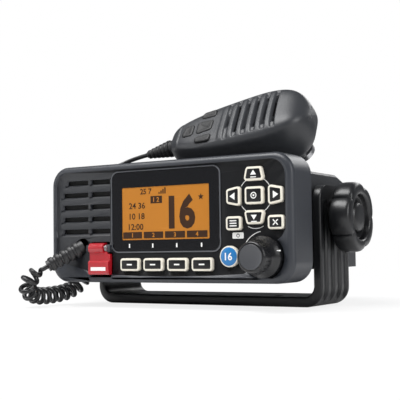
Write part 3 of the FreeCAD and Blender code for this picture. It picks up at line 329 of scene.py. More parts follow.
def roundOutline(points, radius, steps=7):
    # Corner points to a closed outline with an arc at each corner; radius may be a list.
    pts = np.asarray(points, float)
    count = len(pts)
    radii = radius if isinstance(radius, (list, tuple)) else [radius] * count
    rows = []
    for i in range(count):
        p = pts[i]
        a = pts[i - 1] - p
        b = pts[(i + 1) % count] - p
        a, b = a / np.linalg.norm(a), b / np.linalg.norm(b)
        half = math.acos(max(-1, min(1, float(a @ b)))) / 2
        middle = (a + b) / np.linalg.norm(a + b)
        centre = p + middle * radii[i] / math.sin(half)
        start, end = p + a * radii[i] / math.tan(half) - centre, p + b * radii[i] / math.tan(half) - centre
        t = np.linspace(0, 1, steps)[:, None]
        angle = math.pi - 2 * half
        arc = (np.sin((1 - t) * angle) * start + np.sin(t * angle) * end) / math.sin(angle)
        rows.append(centre + arc)
    return np.vstack(rows)


def boxOutline(left, right, low, high, radius):
    return roundOutline([(left, low), (right, low), (right, high), (left, high)], radius)


def inset(outline, amount):
    # Each point moves inwards along the outline's normal.
    ahead, behind = np.roll(outline, -1, 0), np.roll(outline, 1, 0)
    along = ahead - behind
    along /= np.linalg.norm(along, axis=1)[:, None] + 1e-12
    area = np.sum(outline[:, 0] * ahead[:, 1] - ahead[:, 0] * outline[:, 1])
    normal = np.stack([-along[:, 1], along[:, 0]], -1) * (1 if area > 0 else -1)
    return outline + normal * amount


panelZ = 47.4  # the panel's centre height
floorY = -57.9  # the panel's surface, sunk in the moulding
inkThick = 0.04


def stackRings(rows):
    # Points of the (outline, y) rows; an outline is (x, z) from the panel's centre, in millimetres.
    return np.vstack([np.stack([o[:, 0], np.full(len(o), y), o[:, 1] + panelZ], -1) for o, y in rows]) * mm


def panelRings(outline, levels):
    # A closed form from rings of one outline at each (inset, y).
    rows = [(inset(outline, amount), y) for amount, y in levels]
    return stackRings(rows), ringFaces(len(levels), len(outline))


def panelPlate(outline, y):
    return panelRings(np.asarray(outline, float), [(0, y), (0, y - inkThick)])


def rect(x, z, w, h):
    # Corners about the middle (x, z).
    return [(x - w / 2, z - h / 2), (x + w / 2, z - h / 2), (x + w / 2, z + h / 2), (x - w / 2, z + h / 2)]


def lathe(profile, segments, place, axis):
    # Profile rows are (radius, distance along the axis), in millimetres.
    axis = np.asarray(axis, float) / np.linalg.norm(axis)
    guide = np.array((0, 0, 1) if abs(axis[2]) < 0.9 else (0, 1, 0), float)
    u = np.cross(axis, guide)
    u /= np.linalg.norm(u)
    w = np.cross(axis, u)
    t = np.linspace(0, 2 * math.pi, segments, endpoint=False)
    ring = np.cos(t)[:, None] * u + np.sin(t)[:, None] * w
    prof = np.asarray(profile, float)
    pts = np.asarray(place, float) + prof[:, 0, None, None] * ring + prof[:, 1, None, None] * axis
    return pts.reshape(-1, 3) * mm, ringFaces(len(prof), segments)


def pathFrames(pts):
    # A direction and two cross directions at each point, carried along without twist.
    along = np.gradient(pts, axis=0)
    along /= np.linalg.norm(along, axis=1)[:, None]
    side = np.cross(along[0], (0, 0, 1))
    sides = []
    for d in along:
        side = side - d * (side @ d)
        side = side / np.linalg.norm(side)
        sides.append(side)
    sides = np.array(sides)
    return along, sides, np.cross(along, sides)


def tube(pts, radius, sides):
    # A round section carried along the points; radius may differ from point to point.
    across, up = pathFrames(pts)[1:]
    t = np.linspace(0, 2 * math.pi, sides, endpoint=False)
    r = np.broadcast_to(np.asarray(radius, float), (len(pts),))[:, None, None]
    c, s = np.cos(t)[None, :, None], np.sin(t)[None, :, None]
    rings = pts[:, None] + r * (c * across[:, None] + s * up[:, None])
    return rings.reshape(-1, 3), ringFaces(len(pts), sides)


def bump(x, wide, soft):
    # 1 inside the half width, falling to 0 over the soft edge.
    return np.clip((wide - np.abs(x)) / soft + 0.5, 0, 1)


def readCurve(curve):
    # The points and faces of a curve's mesh; the curve itself goes.
    holder = bpy.data.objects.new("holder", curve)
    me = bpy.data.meshes.new_from_object(holder)
    points = np.empty(len(me.vertices) * 3)
    me.vertices.foreach_get("co", points)
    faces = [list(p.vertices) for p in me.polygons]
    bpy.data.objects.remove(holder)
    bpy.data.curves.remove(curve)
    bpy.data.meshes.remove(me)
    return points.reshape(-1, 3), faces


def textFigures(body, size, x, z, y, bold, squeeze=1.0):
    # Plain figures as a flat mesh on the panel, facing the user; (x, z) is the middle, in millimetres.
    curve = bpy.data.curves.new("figure", "FONT")
    curve.body = body
    curve.size = 1.0
    curve.offset = bold
    curve.extrude = 0.01
    curve.resolution_u = 3
    v, faces = readCurve(curve)
    low, high = v.min(0), v.max(0)
    v = (v - (low + high) / 2) / (high[1] - low[1]) * size
    depth = np.where(v[:, 2] > 0, y - inkThick, y)
    out = np.stack([x + v[:, 0] * squeeze, depth, z + panelZ + v[:, 1]], -1) * mm
    return out, faces


def roundedCopy(node, name, mat, body, flat, chosen, width):
    # The node's own form with its chosen edges rounded, standing for the node. flat tells which edges between
    # triangles of one plane may go, chosen which edges are rounded; both read an edge's ends in millimetres.
    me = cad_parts[node].data.copy()
    bm = bmesh.new()
    bm.from_mesh(me)
    bmesh.ops.remove_doubles(bm, verts=bm.verts, dist=2e-6)
    same = [e for e in bm.edges if len(e.link_faces) == 2 and e.calc_face_angle(0) < 0.01
            and flat(e.verts[0].co / mm, e.verts[1].co / mm, e.link_faces[0].normal)]
    bmesh.ops.dissolve_edges(bm, edges=same, use_verts=False)
    hard = [e for e in bm.edges if len(e.link_faces) == 2 and e.calc_face_angle(0) > 0.6
            and chosen(e.verts[0].co / mm, e.verts[1].co / mm)]
    bmesh.ops.bevel(bm, geom=hard, offset=width * mm, segments=3, profile=0.5, affect="EDGES",
                    clamp_overlap=False)
    bm.to_mesh(me)
    bm.free()
    me.materials.clear()
    me.materials.append(mat)
    me.polygons.foreach_set("use_smooth", np.ones(len(me.polygons), bool))
    me.set_sharp_from_angle(angle=math.radians(32))
    piece = addObject(name, me)
    weigh = piece.modifiers.new("flats", "WEIGHTED_NORMAL")  # wide faces keep their own normal
    weigh.keep_sharp = True
    weigh.weight = 100
    applyModifiers(piece)
    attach(piece, body)
    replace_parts(piece, node)
    print(name, len(hard), "edges rounded")
    return piece


def finishNode(node, mat):
    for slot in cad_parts[node].material_slots:
        slot.material = mat


# Case

display = {"left": -34.5, "right": 35.3, "low": -16.1, "high": 28.1, "radius": 4.0,
           "lcdLeft": -27.5, "lcdRight": 29.1, "lcdLow": -9.8, "lcdHigh": 19.2, "lcdRadius": 0.5}

# Nodes that keep their own mesh, by finish.
plainNodes = ((rubberMat, ("front_gasket", "power_gland", "lead_gland", "washer_left", "washer_right",
                           "spacer_left", "spacer_right")),
              (steelMat, ("speaker", "dial_shaft", "distress_pin", "knob_stud_left", "knob_stud_right",
                          "mic_capsule", "mic_hanger_stud")),
              (brassMat, ("antenna_socket", "antenna_contact")),
              (paleMat, ("antenna_insulator", "dial_encoder")),
              (boardMat, ("front_board", "main_board", "mic_board")),
              (chassisMat, ("rear_chassis", "rear_frame")),
              (redMat, ("distress_cover", "distress_button")),
              (creamMat, ("keypad_mat",)), (clothMat, ("speaker_cloth",)), (micKeyMat, ("mic_ptt",)))
for mat, names in plainNodes:
    for node in names:
        finishNode(node, mat)

yoke = {"half": 75.0, "wall": 5.0, "base": 5.6, "top": 66.0, "depth": 38.4, "outerRadius": 10.0,
        "innerRadius": 6.0, "topRadius": 8.0, "edge": 1.1, "sharp": 50.0,
        "stations": ((42.0, 22), (38.0, 12), (15.0, 12), (11.7, 14))}
yokeGrooves = {"count": 4, "pitch": 9.0, "width": 4.6, "depth": 1.2, "low": 4.0, "high": 57.0, "sideSoft": 1.0,
               "endSoft": 1.6}
yokeHoles = {"x": 45.0, "y": 11.0, "radius": 2.75, "from": -1.0, "to": 7.0}


def yokeSide(k, side, base, radius):
    # The right half of the strip's line as (x, z), from the arm's top down to the middle of the base.
    shoulder = k["top"] - k["topRadius"]
    heights = [shoulder + k["topRadius"] * np.sin(np.linspace(math.pi / 2, 0, 12))]
    start = shoulder
    for stop, count in k["stations"]:
        heights.append(np.linspace(start, stop, count)[1:])
        start = stop
    z = np.concatenate(heights)
    arm = np.stack([np.full(len(z), side), z], -1)
    a = np.radians(np.linspace(0, -90, 14))
    bend = np.stack([side - radius + radius * np.cos(a), base + radius + radius * np.sin(a)], -1)
    floor = np.stack([np.linspace(side - radius, 0, 30), np.full(30, base)], -1)
    return np.vstack([arm, bend, floor[1:]])


def yokeSection(k):
    # Once round the strip as (distance across, share of the wall from inside to outside), edges rounded. The
    # outer side has the most points, for the grooves.
    reach, edge = k["depth"] / 2, k["edge"]
    share = edge / k["wall"]
    corner = np.radians(np.linspace(0, 90, 5))
    right = np.stack([reach - edge + edge * np.cos(corner), 1 - share + share * np.sin(corner)], -1)
    left = right[::-1] * (-1, 1)
    outside = np.linspace(-1, 1, 110)[::-1][1:-1] * (reach - edge)
    inside = np.linspace(-1, 1, 24)[1:-1] * (reach - edge)
    return np.vstack([right, np.stack([outside, np.ones(len(outside))], -1), left,
                      left[::-1] * (1, -1) + (0, 1), np.stack([inside, np.zeros(len(inside))], -1),
                      right[::-1] * (1, -1) + (0, 1)])


def cutAway(piece, parts):
    # Cuts closed (verts, faces) pairs out of the piece.
    tool = addObject("drills", outwardMesh("drills", *joined(parts)))
    cut = piece.modifiers.new("holes", "BOOLEAN")
    cut.operation = "DIFFERENCE"
    cut.solver = "EXACT"
    cut.object = tool
    applyModifiers(piece)
    bpy.data.objects.remove(tool)


def makeYoke(k, grooves, holes):
    # A flat strip bent to a U: the section is carried from one arm's top to the other's. A point lies between
    # the inner and the outer line by its share of the wall, and the grooves lower that share.
    outer = yokeSide(k, k["half"], 0.0, k["outerRadius"])
    inner = yokeSide(k, k["half"] - k["wall"], k["base"], k["innerRadius"])
    outer, inner = (np.vstack([right, (right * (-1, 1))[::-1][1:]]) for right in (outer, inner))
    reach = k["depth"] / 2
    rise = np.clip((outer[:, 1] - k["top"] + k["topRadius"]) / k["topRadius"], 0, 1)
    half = reach - k["topRadius"] * (1 - np.sqrt(1 - rise ** 2))
    section = yokeSection(k)
    y = section[None, :, 0] * (half / reach)[:, None]
    lines = np.zeros_like(y)
    for i in range(grooves["count"]):
        at = (i - (grooves["count"] - 1) / 2) * grooves["pitch"]
        lines = np.maximum(lines, bump(y - at, grooves["width"] / 2, grooves["sideSoft"]))
    middle, tall = (grooves["low"] + grooves["high"]) / 2, (grooves["high"] - grooves["low"]) / 2
    ends = bump(outer[:, 1][:, None] - middle, tall, grooves["endSoft"])
    share = np.repeat(section[None, :, 1], len(outer), 0)
    onOutside = section[None, :, 1] > 0.999
    share = (share - (grooves["depth"] / k["wall"]) * lines * ends * onOutside)[..., None]
    flat = inner[:, None] * (1 - share) + outer[:, None] * share
    pts = np.stack([flat[..., 0], y, flat[..., 1]], -1).reshape(-1, 3) * mm
    strip = addMesh("yokeBracket", pts, ringFaces(len(outer), len(section)), bracketMat, "bracket",
                    sharp=k["sharp"], slot="bracket_black")
    profile = [(holes["radius"], holes["from"]), (holes["radius"], holes["to"])]
    cutAway(strip, [lathe(profile, 40, (x, hole, 0), (0, 0, 1)) for x in (-holes["x"], holes["x"])
                    for hole in (-holes["y"], holes["y"])])
    strip.data.name = "yokeBracket"
    strip.data.set_sharp_from_angle(angle=math.radians(k["sharp"]))
    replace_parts(strip, "bracket")
    print("bracket", len(strip.data.polygons), "faces")


makeYoke(yoke, yokeGrooves, yokeHoles)

housing = {"edgeX": 76.4, "edgeZ": 31.4, "cornerX": 67.25, "cornerZ": 22.25, "cornerRadius": 9.1, "slack": 0.05,
           "bevelBack": -57.0, "wallX": 76.0, "wallZ": 31.2, "round": 1.05}


def outerEdge(a, b):
    # The two long edges of the front moulding's bevel, all round.
    k = housing
    far = [max(abs(p.x) - k["edgeX"], abs(p.z - panelZ) - k["edgeZ"]) > -k["slack"]
           or math.hypot(max(abs(p.x) - k["cornerX"], 0), max(abs(p.z - panelZ) - k["cornerZ"], 0))
           > k["cornerRadius"] for p in (a, b)]
    return all(far) and abs(a.y - b.y) < 0.01 and max(a.y, b.y) < k["bevelBack"]


def outerWall(a, b, normal):
    # Both ends lie on the front moulding's outer walls.
    side = min(abs(a.x), abs(b.x)) > housing["wallX"]
    level = min(abs(a.z - panelZ), abs(b.z - panelZ)) > housing["wallZ"]
    return abs(normal.y) < 0.9 and (side or level)


moulding = roundedCopy("front_bezel", "frontHousing", bezelMat, "radio", outerWall, outerEdge, housing["round"])
for extra in (panelMat, speakerMat):
    moulding.data.materials.append(extra)
slots = []
for poly in moulding.data.polygons:
    # The sunk panel is black, and its left part round the speaker slots is grey.
    c = poly.center / mm
    sunk = floorY - 0.05 < c.y < floorY + 3 and poly.normal.y < -0.5
    slots.append(0 if not sunk else 2 if c.x < display["left"] - 1.0 else 1)
moulding.data.polygons.foreach_set("material_index", slots)
print("case done")


# Display

# Words, size, middle (x, z), boldness and width of the figures on the lit area.
displayText = (("16", 18.6, 12.0, 5.0, 0.045, 0.86), ("25", 3.1, -13.2, 16.7, 0.02, 1.0),
               ("7", 3.1, -8.6, 16.7, 0.02, 1.0), ("24 36", 3.4, -17.4, 9.0, 0.015, 1.05),
               ("10 18", 3.4, -17.4, 3.2, 0.015, 1.05), ("12:00", 3.4, -18.2, -2.6, 0.015, 1.05))


def makeDisplay(d):
    # The lens is a black ring whose inner edge frames the lit area, on a plate under it.
    outer = boxOutline(d["left"], d["right"], d["low"], d["high"], d["radius"])
    inner = boxOutline(d["lcdLeft"], d["lcdRight"], d["lcdLow"], d["lcdHigh"], d["lcdRadius"])
    front, back = floorY - 0.4, floorY + 1.4
    rows = [(outer, back), (outer, front + 0.3), (inset(outer, 0.3), front), (inner, front),
            (inner, front + 0.25)]
    ring = addMesh("displayLens", stackRings(rows), ringFaces(len(rows), len(outer), True, False), glassMat,
                   "radio", slot="lens_glass")
    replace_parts(ring, "display_lens")
    lip = [(inset(outer, amount), floorY + h) for amount, h in ((-0.75, 0.1), (-0.7, -0.35), (-0.3, -0.5),
                                                                (-0.05, -0.4), (-0.02, 0.1))]
    addMesh("displayLip", stackRings(lip), ringFaces(len(lip), len(outer), False, False), lipMat, "radio",
            slot="bezel_grey")
    y = front + 0.2
    lit = addMesh("displayPanel", *panelRings(inner, [(-0.3, y + 0.3), (-0.3, y)]), amberMat, "radio",
                  slot="lcd_amber")
    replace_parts(lit, "lcd_module")
    y -= 0.02
    figures = [textFigures(words, size, x, z, y, bold, wide) for words, size, x, z, bold, wide in displayText]
    # A star of ten points, and four bars that grow to the right.
    t = np.arange(10) * math.pi / 5 + math.pi / 2
    r = np.where(np.arange(10) % 2 == 0, 1.9, 0.8)
    figures.append(panelPlate(np.stack([24.0 + r * np.cos(t), 12.4 + r * np.sin(t)], -1), y))
    for i in range(4):
        figures.append(panelPlate(rect(-2.6 + i * 1.3, 15.5 + 0.4 * i, 0.8, 0.9 + 0.8 * i), y))
    figures.append(panelPlate(rect(-4.5, 12.0, 7.6, 4.0), y))
    for i in range(4):
        figures.append(panelPlate(rect(-20.6 + i * 14.0, -7.2, 12.8, 3.6), y))
    addMesh("displayFigures", *joined(figures), figureMat, "radio", slot="lcd_amber")
    labels = [textFigures("1 2", 2.6, -4.5, 12.0, y - 0.05, 0.02)]
    labels += [textFigures(str(i + 1), 2.4, -20.6 + i * 14.0, -7.2, y - 0.05, 0.02) for i in range(4)]
    addMesh("displayLabels", *joined(labels), amberMat, "radio", slot="lcd_amber")
    ticks = [panelPlate(rect(-22.6 + i * 15.6, -13.0, 0.8, 2.2), front - 0.01) for i in range(4)]
    addMesh("displayTicks", *joined(ticks), printAndHighlightMat, "radio", slot="lens_glass")


makeDisplay(display)
print("display done")


# Keys

keys = {"proud": 1.9, "corner": 1.7, "rim": 1.15, "foot": 1.2, "padX": 56.4, "padZ": 11.6, "sideX": 12.1,
        "sideZ": 13.9, "softX": -21.7, "softPitch": 15.56, "softZ": -23.3, "roundX": 41.4, "roundZ": -19.3,
        "roundRadius": 5.5}


def keyShapes():
    # Corners of each key, from the panel's centre.
    shapes = {}
    for i in range(4):
        shapes["softkey_%d" % (i + 1)] = rect(keys["softX"] + keys["softPitch"] * i, keys["softZ"], 12.8, 7.0)
    x, z = keys["padX"], keys["padZ"]
    shapes["key_up"] = [(x - 6.0, z + 7.5), (x + 6.0, z + 7.5), (x + 4.4, z + 14.7), (x - 4.4, z + 14.7)]
    shapes["key_down"] = [(x - 4.4, z - 14.7), (x + 4.4, z - 14.7), (x + 6.0, z - 7.5), (x - 6.0, z - 7.5)]
    shapes["key_left"] = [(x - 16.2, z - 3.7), (x - 8.0, z - 5.3), (x - 8.0, z + 5.3), (x - 16.2, z + 3.7)]
    shapes["key_right"] = [(x + 8.0, z - 5.3), (x + 16.2, z - 3.7), (x + 16.2, z + 3.7), (x + 8.0, z + 5.3)]
    shapes["key_enter"] = rect(x, z, 10.6, 9.0)
    shapes["key_menu"] = rect(x - keys["sideX"], z - keys["sideZ"], 9.0, 7.2)
    shapes["key_clear"] = rect(x + keys["sideX"], z - keys["sideZ"], 9.0, 7.2)
    return shapes


def keyPiece(node, outline, top, marks):
    # A pale rim with a soft edge, a dark top set in it, and its marks: outlines or (verts, faces) pairs.
    front = floorY - keys["proud"]
    back = floorY + keys["foot"]
    rim = panelRings(outline, [(0, back), (0, front + 0.45), (0.14, front + 0.13), (0.45, front),
                               (keys["rim"], front), (keys["rim"] + 0.05, front + 0.15)])
    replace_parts(addMesh(node + ".rim", *rim, creamMat, node, slot="key_cream"), node)
    plate = panelRings(outline, [(keys["rim"], front + 0.15), (keys["rim"], front - 0.04),
                                 (keys["rim"] + 0.25, front - 0.12)])
    addMesh(node + ".top", *plate, top, node, slot="key_cream")
    y = front - 0.12
    plates = [m if isinstance(m, tuple) else panelPlate(m, y) for m in marks]
    addMesh(node + ".mark", *joined(plates), printAndHighlightMat, node, slot="key_cream")


def ringMark(x, z, r, thick, y, start=0.0, end=360.0):
    # A flat arc from one angle to another, in degrees; a whole ring has no end caps.
    t = np.radians(np.linspace(start, end, 40))
    c, s = np.cos(t), np.sin(t)
    rows = []
    for radius, depth in ((r, 0), (r, -inkThick), (r - thick, -inkThick), (r - thick, 0)):
        rows.append(np.stack([x + radius * c, np.full(40, y + depth), z + panelZ + radius * s], -1))
    pts = np.stack(rows, 1).reshape(-1, 3) * mm
    return pts, ringFaces(40, 4, end - start < 359.9, end - start < 359.9)


def makeKeys():
    front = floorY - keys["proud"] - 0.12
    x, z = keys["padX"], keys["padZ"]
    sideX, sideZ = keys["sideX"], z - keys["sideZ"]
    marks = {"key_up": [[(x - 1.7, z + 10.5), (x + 1.7, z + 10.5), (x, z + 13.0)], rect(x, z + 9.3, 3.2, 0.5)],
             "key_down": [[(x - 1.7, z - 9.9), (x, z - 12.4), (x + 1.7, z - 9.9)], rect(x, z - 13.3, 3.2, 0.5)],
             "key_left": [[(x - 14.0, z), (x - 11.0, z - 1.9), (x - 11.0, z + 1.9)]],
             "key_right": [[(x + 14.0, z), (x + 11.0, z + 1.9), (x + 11.0, z - 1.9)]],
             "key_enter": [ringMark(x, z, 1.7, 0.5, front), rect(x, z, 0.9, 0.9)],
             "key_menu": [rect(x - sideX, sideZ + k, 4.0, 0.55) for k in (-1.3, 0.0, 1.3)],
             "key_clear": []}
    for sign in (-1, 1):
        a = np.array(rect(0, 0, 3.8, 0.6))
        c, s = math.cos(sign * math.pi / 4), math.sin(sign * math.pi / 4)
        cross = np.stack([a[:, 0] * c - a[:, 1] * s + x + sideX, a[:, 0] * s + a[:, 1] * c + sideZ], -1)
        marks["key_clear"].append(cross)
    for i in range(4):
        marks["softkey_%d" % (i + 1)] = [rect(keys["softX"] + keys["softPitch"] * i, keys["softZ"], 3.4, 0.75)]
    for node, corners in keyShapes().items():
        keyPiece(node, roundOutline(corners, keys["corner"]), keyMat, marks[node])
    t = np.linspace(0, 2 * math.pi, 64, endpoint=False)
    circle = np.stack([keys["roundX"] + keys["roundRadius"] * np.cos(t),
                       keys["roundZ"] + keys["roundRadius"] * np.sin(t)], -1)
    back, y = floorY + keys["foot"], floorY - keys["proud"]
    rim = panelRings(circle, [(0, back), (0, y + 0.4), (0.15, y + 0.1), (0.4, y), (0.7, y), (0.72, y + 0.2)])
    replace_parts(addMesh("key_channel.rim", *rim, creamMat, "key_channel", slot="key_cream"), "key_channel")
    face = panelRings(circle, [(0.7, y + 0.2), (0.7, y), (0.95, y - 0.2), (2.5, y - 0.32), (4.6, y - 0.36)])
    addMesh("key_channel.top", *face, blueMat, "key_channel", slot="key_blue")
    mark = textFigures("16", 4.0, keys["roundX"], keys["roundZ"], y - 0.36, 0.02)
    addMesh("key_channel.mark", *mark, printAndHighlightMat, "key_channel", slot="key_cream")


makeKeys()
print("keys done")


# Print on the panel

printSettings = {"labelX": 46.0, "labelZ": -8.6, "arcRadius": 13.2, "barX": -42.2, "barY": -61.62,
                 "barZ": -25.6}
dialCentre = (61.4, -19.6)
padArcs = (32, 122, 212, 302)  # where the four short arcs round the pad start, in degrees


def panelPrint(p):
    y = floorY - 0.01
    label = (p["labelX"], p["labelZ"])
    marks = [panelRings(roundOutline(rect(*label, 6.6, 3.2), 0.7), [(0, y), (0, y - 0.03)]),
             ringMark(*dialCentre, p["arcRadius"], 0.35, y, 100, 165)]
    for i in range(5):
        marks.append(panelPlate(rect(42.6 + i * 1.2, -5.2 + 0.15 * i, 0.7, 0.5 + 0.35 * i), y))
    addMesh("panelMarks", *joined(marks), printAndHighlightMat, "radio", slot="key_cream")
    x, z = keys["padX"], keys["padZ"]
    lines = [ringMark(x, z, 9.6, 0.3, y, start, start + 26) for start in padArcs]
    lines.append(ringMark(x, z - 8.0, 9.0, 0.3, y, 240, 300))
    addMesh("padLines", *joined(lines), printAndHighlightMat, "radio", slot="key_cream")
    power = [ringMark(*label, 1.0, 0.3, y - 0.04, 110, 430),
             panelPlate(rect(label[0], label[1] + 0.7, 0.3, 1.1), y - 0.05)]
    addMesh("powerMark", *joined(power), keyMat, "radio", slot="bezel_grey")
    bar = panelPlate(rect(p["barX"], p["barZ"], 10.4, 2.0), p["barY"])
    addMesh("coverBar", *bar, printAndHighlightMat, "distress_cover", slot="cover_red")


panelPrint(printSettings)
print("print done")


# Dial

dialSettings = {"x": dialCentre[0], "z": dialCentre[1], "back": -58.9, "front": -73.5, "ribs": 24,
                "ribRadius": 8.0}


def makeDial(d):
    # A turned body and disc, whose profile rows are (radius, y), with fine ribs round the grip.
    place = (d["x"], 0, panelZ + d["z"])
    b, f = d["back"], d["front"]
    profile = [(3.1, b), (10.2, b), (10.7, b - 0.5), (10.7, b - 3.0), (10.4, b - 3.5), (9.3, b - 4.8),
               (8.45, b - 6.4), (8.2, b - 7.6), (8.15, b - 7.9), (7.95, f + 1.5), (7.8, f + 0.7), (7.3, f + 0.15),
               (6.9, f), (6.45, f), (6.4, f + 0.9), (0.2, f + 0.9)]
    body = lathe(profile, 144, place, (0, 1, 0))
    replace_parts(addMesh("dialBody", *body, dialMat, "dial", slot="knob_black"), "dial_knob")
    ribs = []
    for i in range(d["ribs"]):
        a = 2 * math.pi * i / d["ribs"]
        centre = np.array([d["x"] + d["ribRadius"] * math.cos(a), 0,
                           panelZ + d["z"] + d["ribRadius"] * math.sin(a)])
        path = centre + np.array([[0, f + 2.2, 0], [0, f + 4.0, 0], [0, b - 9.5, 0], [0, b - 8.2, 0]])
        ribs.append(tube(path * mm, np.array([0.12, 0.3, 0.3, 0.12]) * mm, 6))
    addMesh("dialRibs", *joined(ribs), dialMat, "dial", slot="knob_black")
    cap = [(6.3, f + 0.9), (6.3, f - 0.1), (6.1, f - 0.3), (5.4, f - 0.12), (1.0, f + 0.1), (0.1, f + 0.1)]
    disc = addMesh("dialDisc", *lathe(cap, 96, place, (0, 1, 0)), capMat, "dial", slot="cap_grey")
    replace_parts(disc, "dial_cap")
    # A short pale line on the skirt, which slopes from the grip to the rim: a painted highlight along the skirt's
    # step, which is not modelled.
    high = panelZ + d["z"] + 3.0
    path = np.array([[d["x"] + 8.6, b - 4.4, high], [d["x"] + 10.6, b - 2.8, high]]) * mm
    addMesh("dialStepHighlight", *tube(path, 0.35 * mm, 8), printAndHighlightMat, "dial", slot="key_cream")


makeDial(dialSettings)
print("dial done")


# Spring of the cover

springSettings = {"left": -39.0, "right": -37.15, "radius": 1.85, "wire": 0.32, "turns": 4.5, "y": -58.4,
                  "z": 33.3}


def makeSpring(c):
    # A helix round the pin: the angle grows evenly along x.
    t = np.linspace(0, 1, 220)
    a = 2 * math.pi * c["turns"] * t
    wire = np.stack([c["left"] + (c["right"] - c["left"]) * t, c["y"] + c["radius"] * np.cos(a),
                     c["z"] + c["radius"] * np.sin(a)], -1)
    spring = addMesh("coverSpring", *tube(wire * mm, c["wire"] / 2 * mm, 8), steelMat, "radio",
                     slot="pin_steel")
    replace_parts(spring, "distress_spring")


makeSpring(springSettings)


# Star knobs

starSettings = {"lobes": 5, "lobeDepth": 2.5, "lobePower": 0.55, "start": 76.4, "hub": 2.6, "length": 12.0,
                "z": 48.4, "steps": 200}


def starPiece(s, sign, name, node, body):
    # Rings of a lobed outline: each level is (radius, share of the lobes, distance from the start). Between
    # lobes the radius falls by the depth times one less a power of the cosine of half the lobes' angle.
    count = s["steps"]
    t = np.linspace(0, 2 * math.pi, count, endpoint=False)
    swell = np.abs(np.cos(s["lobes"] / 2 * (t - math.pi))) ** s["lobePower"]
    top = s["hub"] + s["length"]
    levels = [(3.1, 0, 0), (8.6, 0, 0), (9.0, 0, 0.4), (9.0, 0, s["hub"] - 0.3), (9.4, 0, s["hub"]),
              (17.2, 0.8, s["hub"]), (18.5, 0.95, s["hub"] + 0.4), (19.2, 1, s["hub"] + 1.5),
              (19.4, 1, s["hub"] + 5), (19.3, 1, top - 2.8), (18.9, 1, top - 1.3), (18.2, 0.97, top - 0.5),
              (17.2, 0.93, top - 0.1), (15.6, 0.7, top), (13.6, 0.15, top), (12.7, 0.0, top - 0.4),
              (12.3, 0, top - 1.6), (12.2, 0, top - 3.4), (11.8, 0, top - 3.9), (8.6, 0, top - 4.0),
              (8.2, 0, top - 3.4), (7.6, 0, top - 1.6), (6.4, 0, top - 1.1), (3.0, 0, top - 0.9),
              (0.2, 0, top - 0.9)]
    rings = []
    for r, share, x in levels:
        radius = r - share * s["lobeDepth"] * (1 - swell)
        rings.append(np.stack([np.full(count, sign * (s["start"] + x)), radius * np.cos(t),
                               s["z"] + radius * np.sin(t)], -1))
    piece = addMesh(name, np.vstack(rings) * mm, ringFaces(len(levels), count), knobMat, body, sharp=60,
                    slot="knob_black")
    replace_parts(piece, node)


starPiece(starSettings, 1, "rightKnob", "star_knob_right", "knob_right")
starPiece(starSettings, -1, "leftKnob", "star_knob_left", "knob_left")
print("knobs done")


# Microphone, in its own frame: x to the head, y across, z out of the face

micSettings = {"place": (31.5, -15.1, 108.274), "pitch": 9.0, "lean": 52.0, "head": 33.0, "tail": 60.0,
               "half": 21.0, "seam": 11.0, "depth": 31.0, "backSlope": 8.0, "faceHigh": 0.6, "widthPower": 0.42,
               "topPower": 0.30, "lowPower": 0.60, "slots": 6, "slotPitch": 6.05, "slotHalf": 14.2,
               "bootHigh": -9.0, "bootLength": 18.0}
micKeys = {"mic_key_up": [(-36.5, 7.2), (-24.0, 6.6), (-24.6, 12.6), (-33.0, 12.2)],
           "mic_key_left": [(-46.5, -4.4), (-38.2, -5.2), (-38.2, 4.6), (-45.0, 3.6)],
           "mic_key_right": [(-36.2, -5.2), (-25.4, -4.2), (-24.8, 4.2), (-36.2, 4.7)],
           "mic_key_down": [(-36.2, -11.8), (-25.4, -13.2), (-24.2, -7.2), (-35.6, -7.4)]}


def micAxes(m):
    # The microphone's own axes as rows: pitched up towards the head, and leant back on its side.
    a, b = math.radians(m["pitch"]), math.radians(m["lean"])
    e1 = np.array([math.cos(a), 0, math.sin(a)])
    up = np.array([-math.sin(a), 0, math.cos(a)])
    side = np.array([0, 1.0, 0])
    return np.stack([e1, side * math.cos(b) + up * math.sin(b), up * math.cos(b) - side * math.sin(b)])


micTurn = micAxes(micSettings)


def micWorld(pts):
    return (np.asarray(pts, float) @ micTurn + np.array(micSettings["place"])) * mm


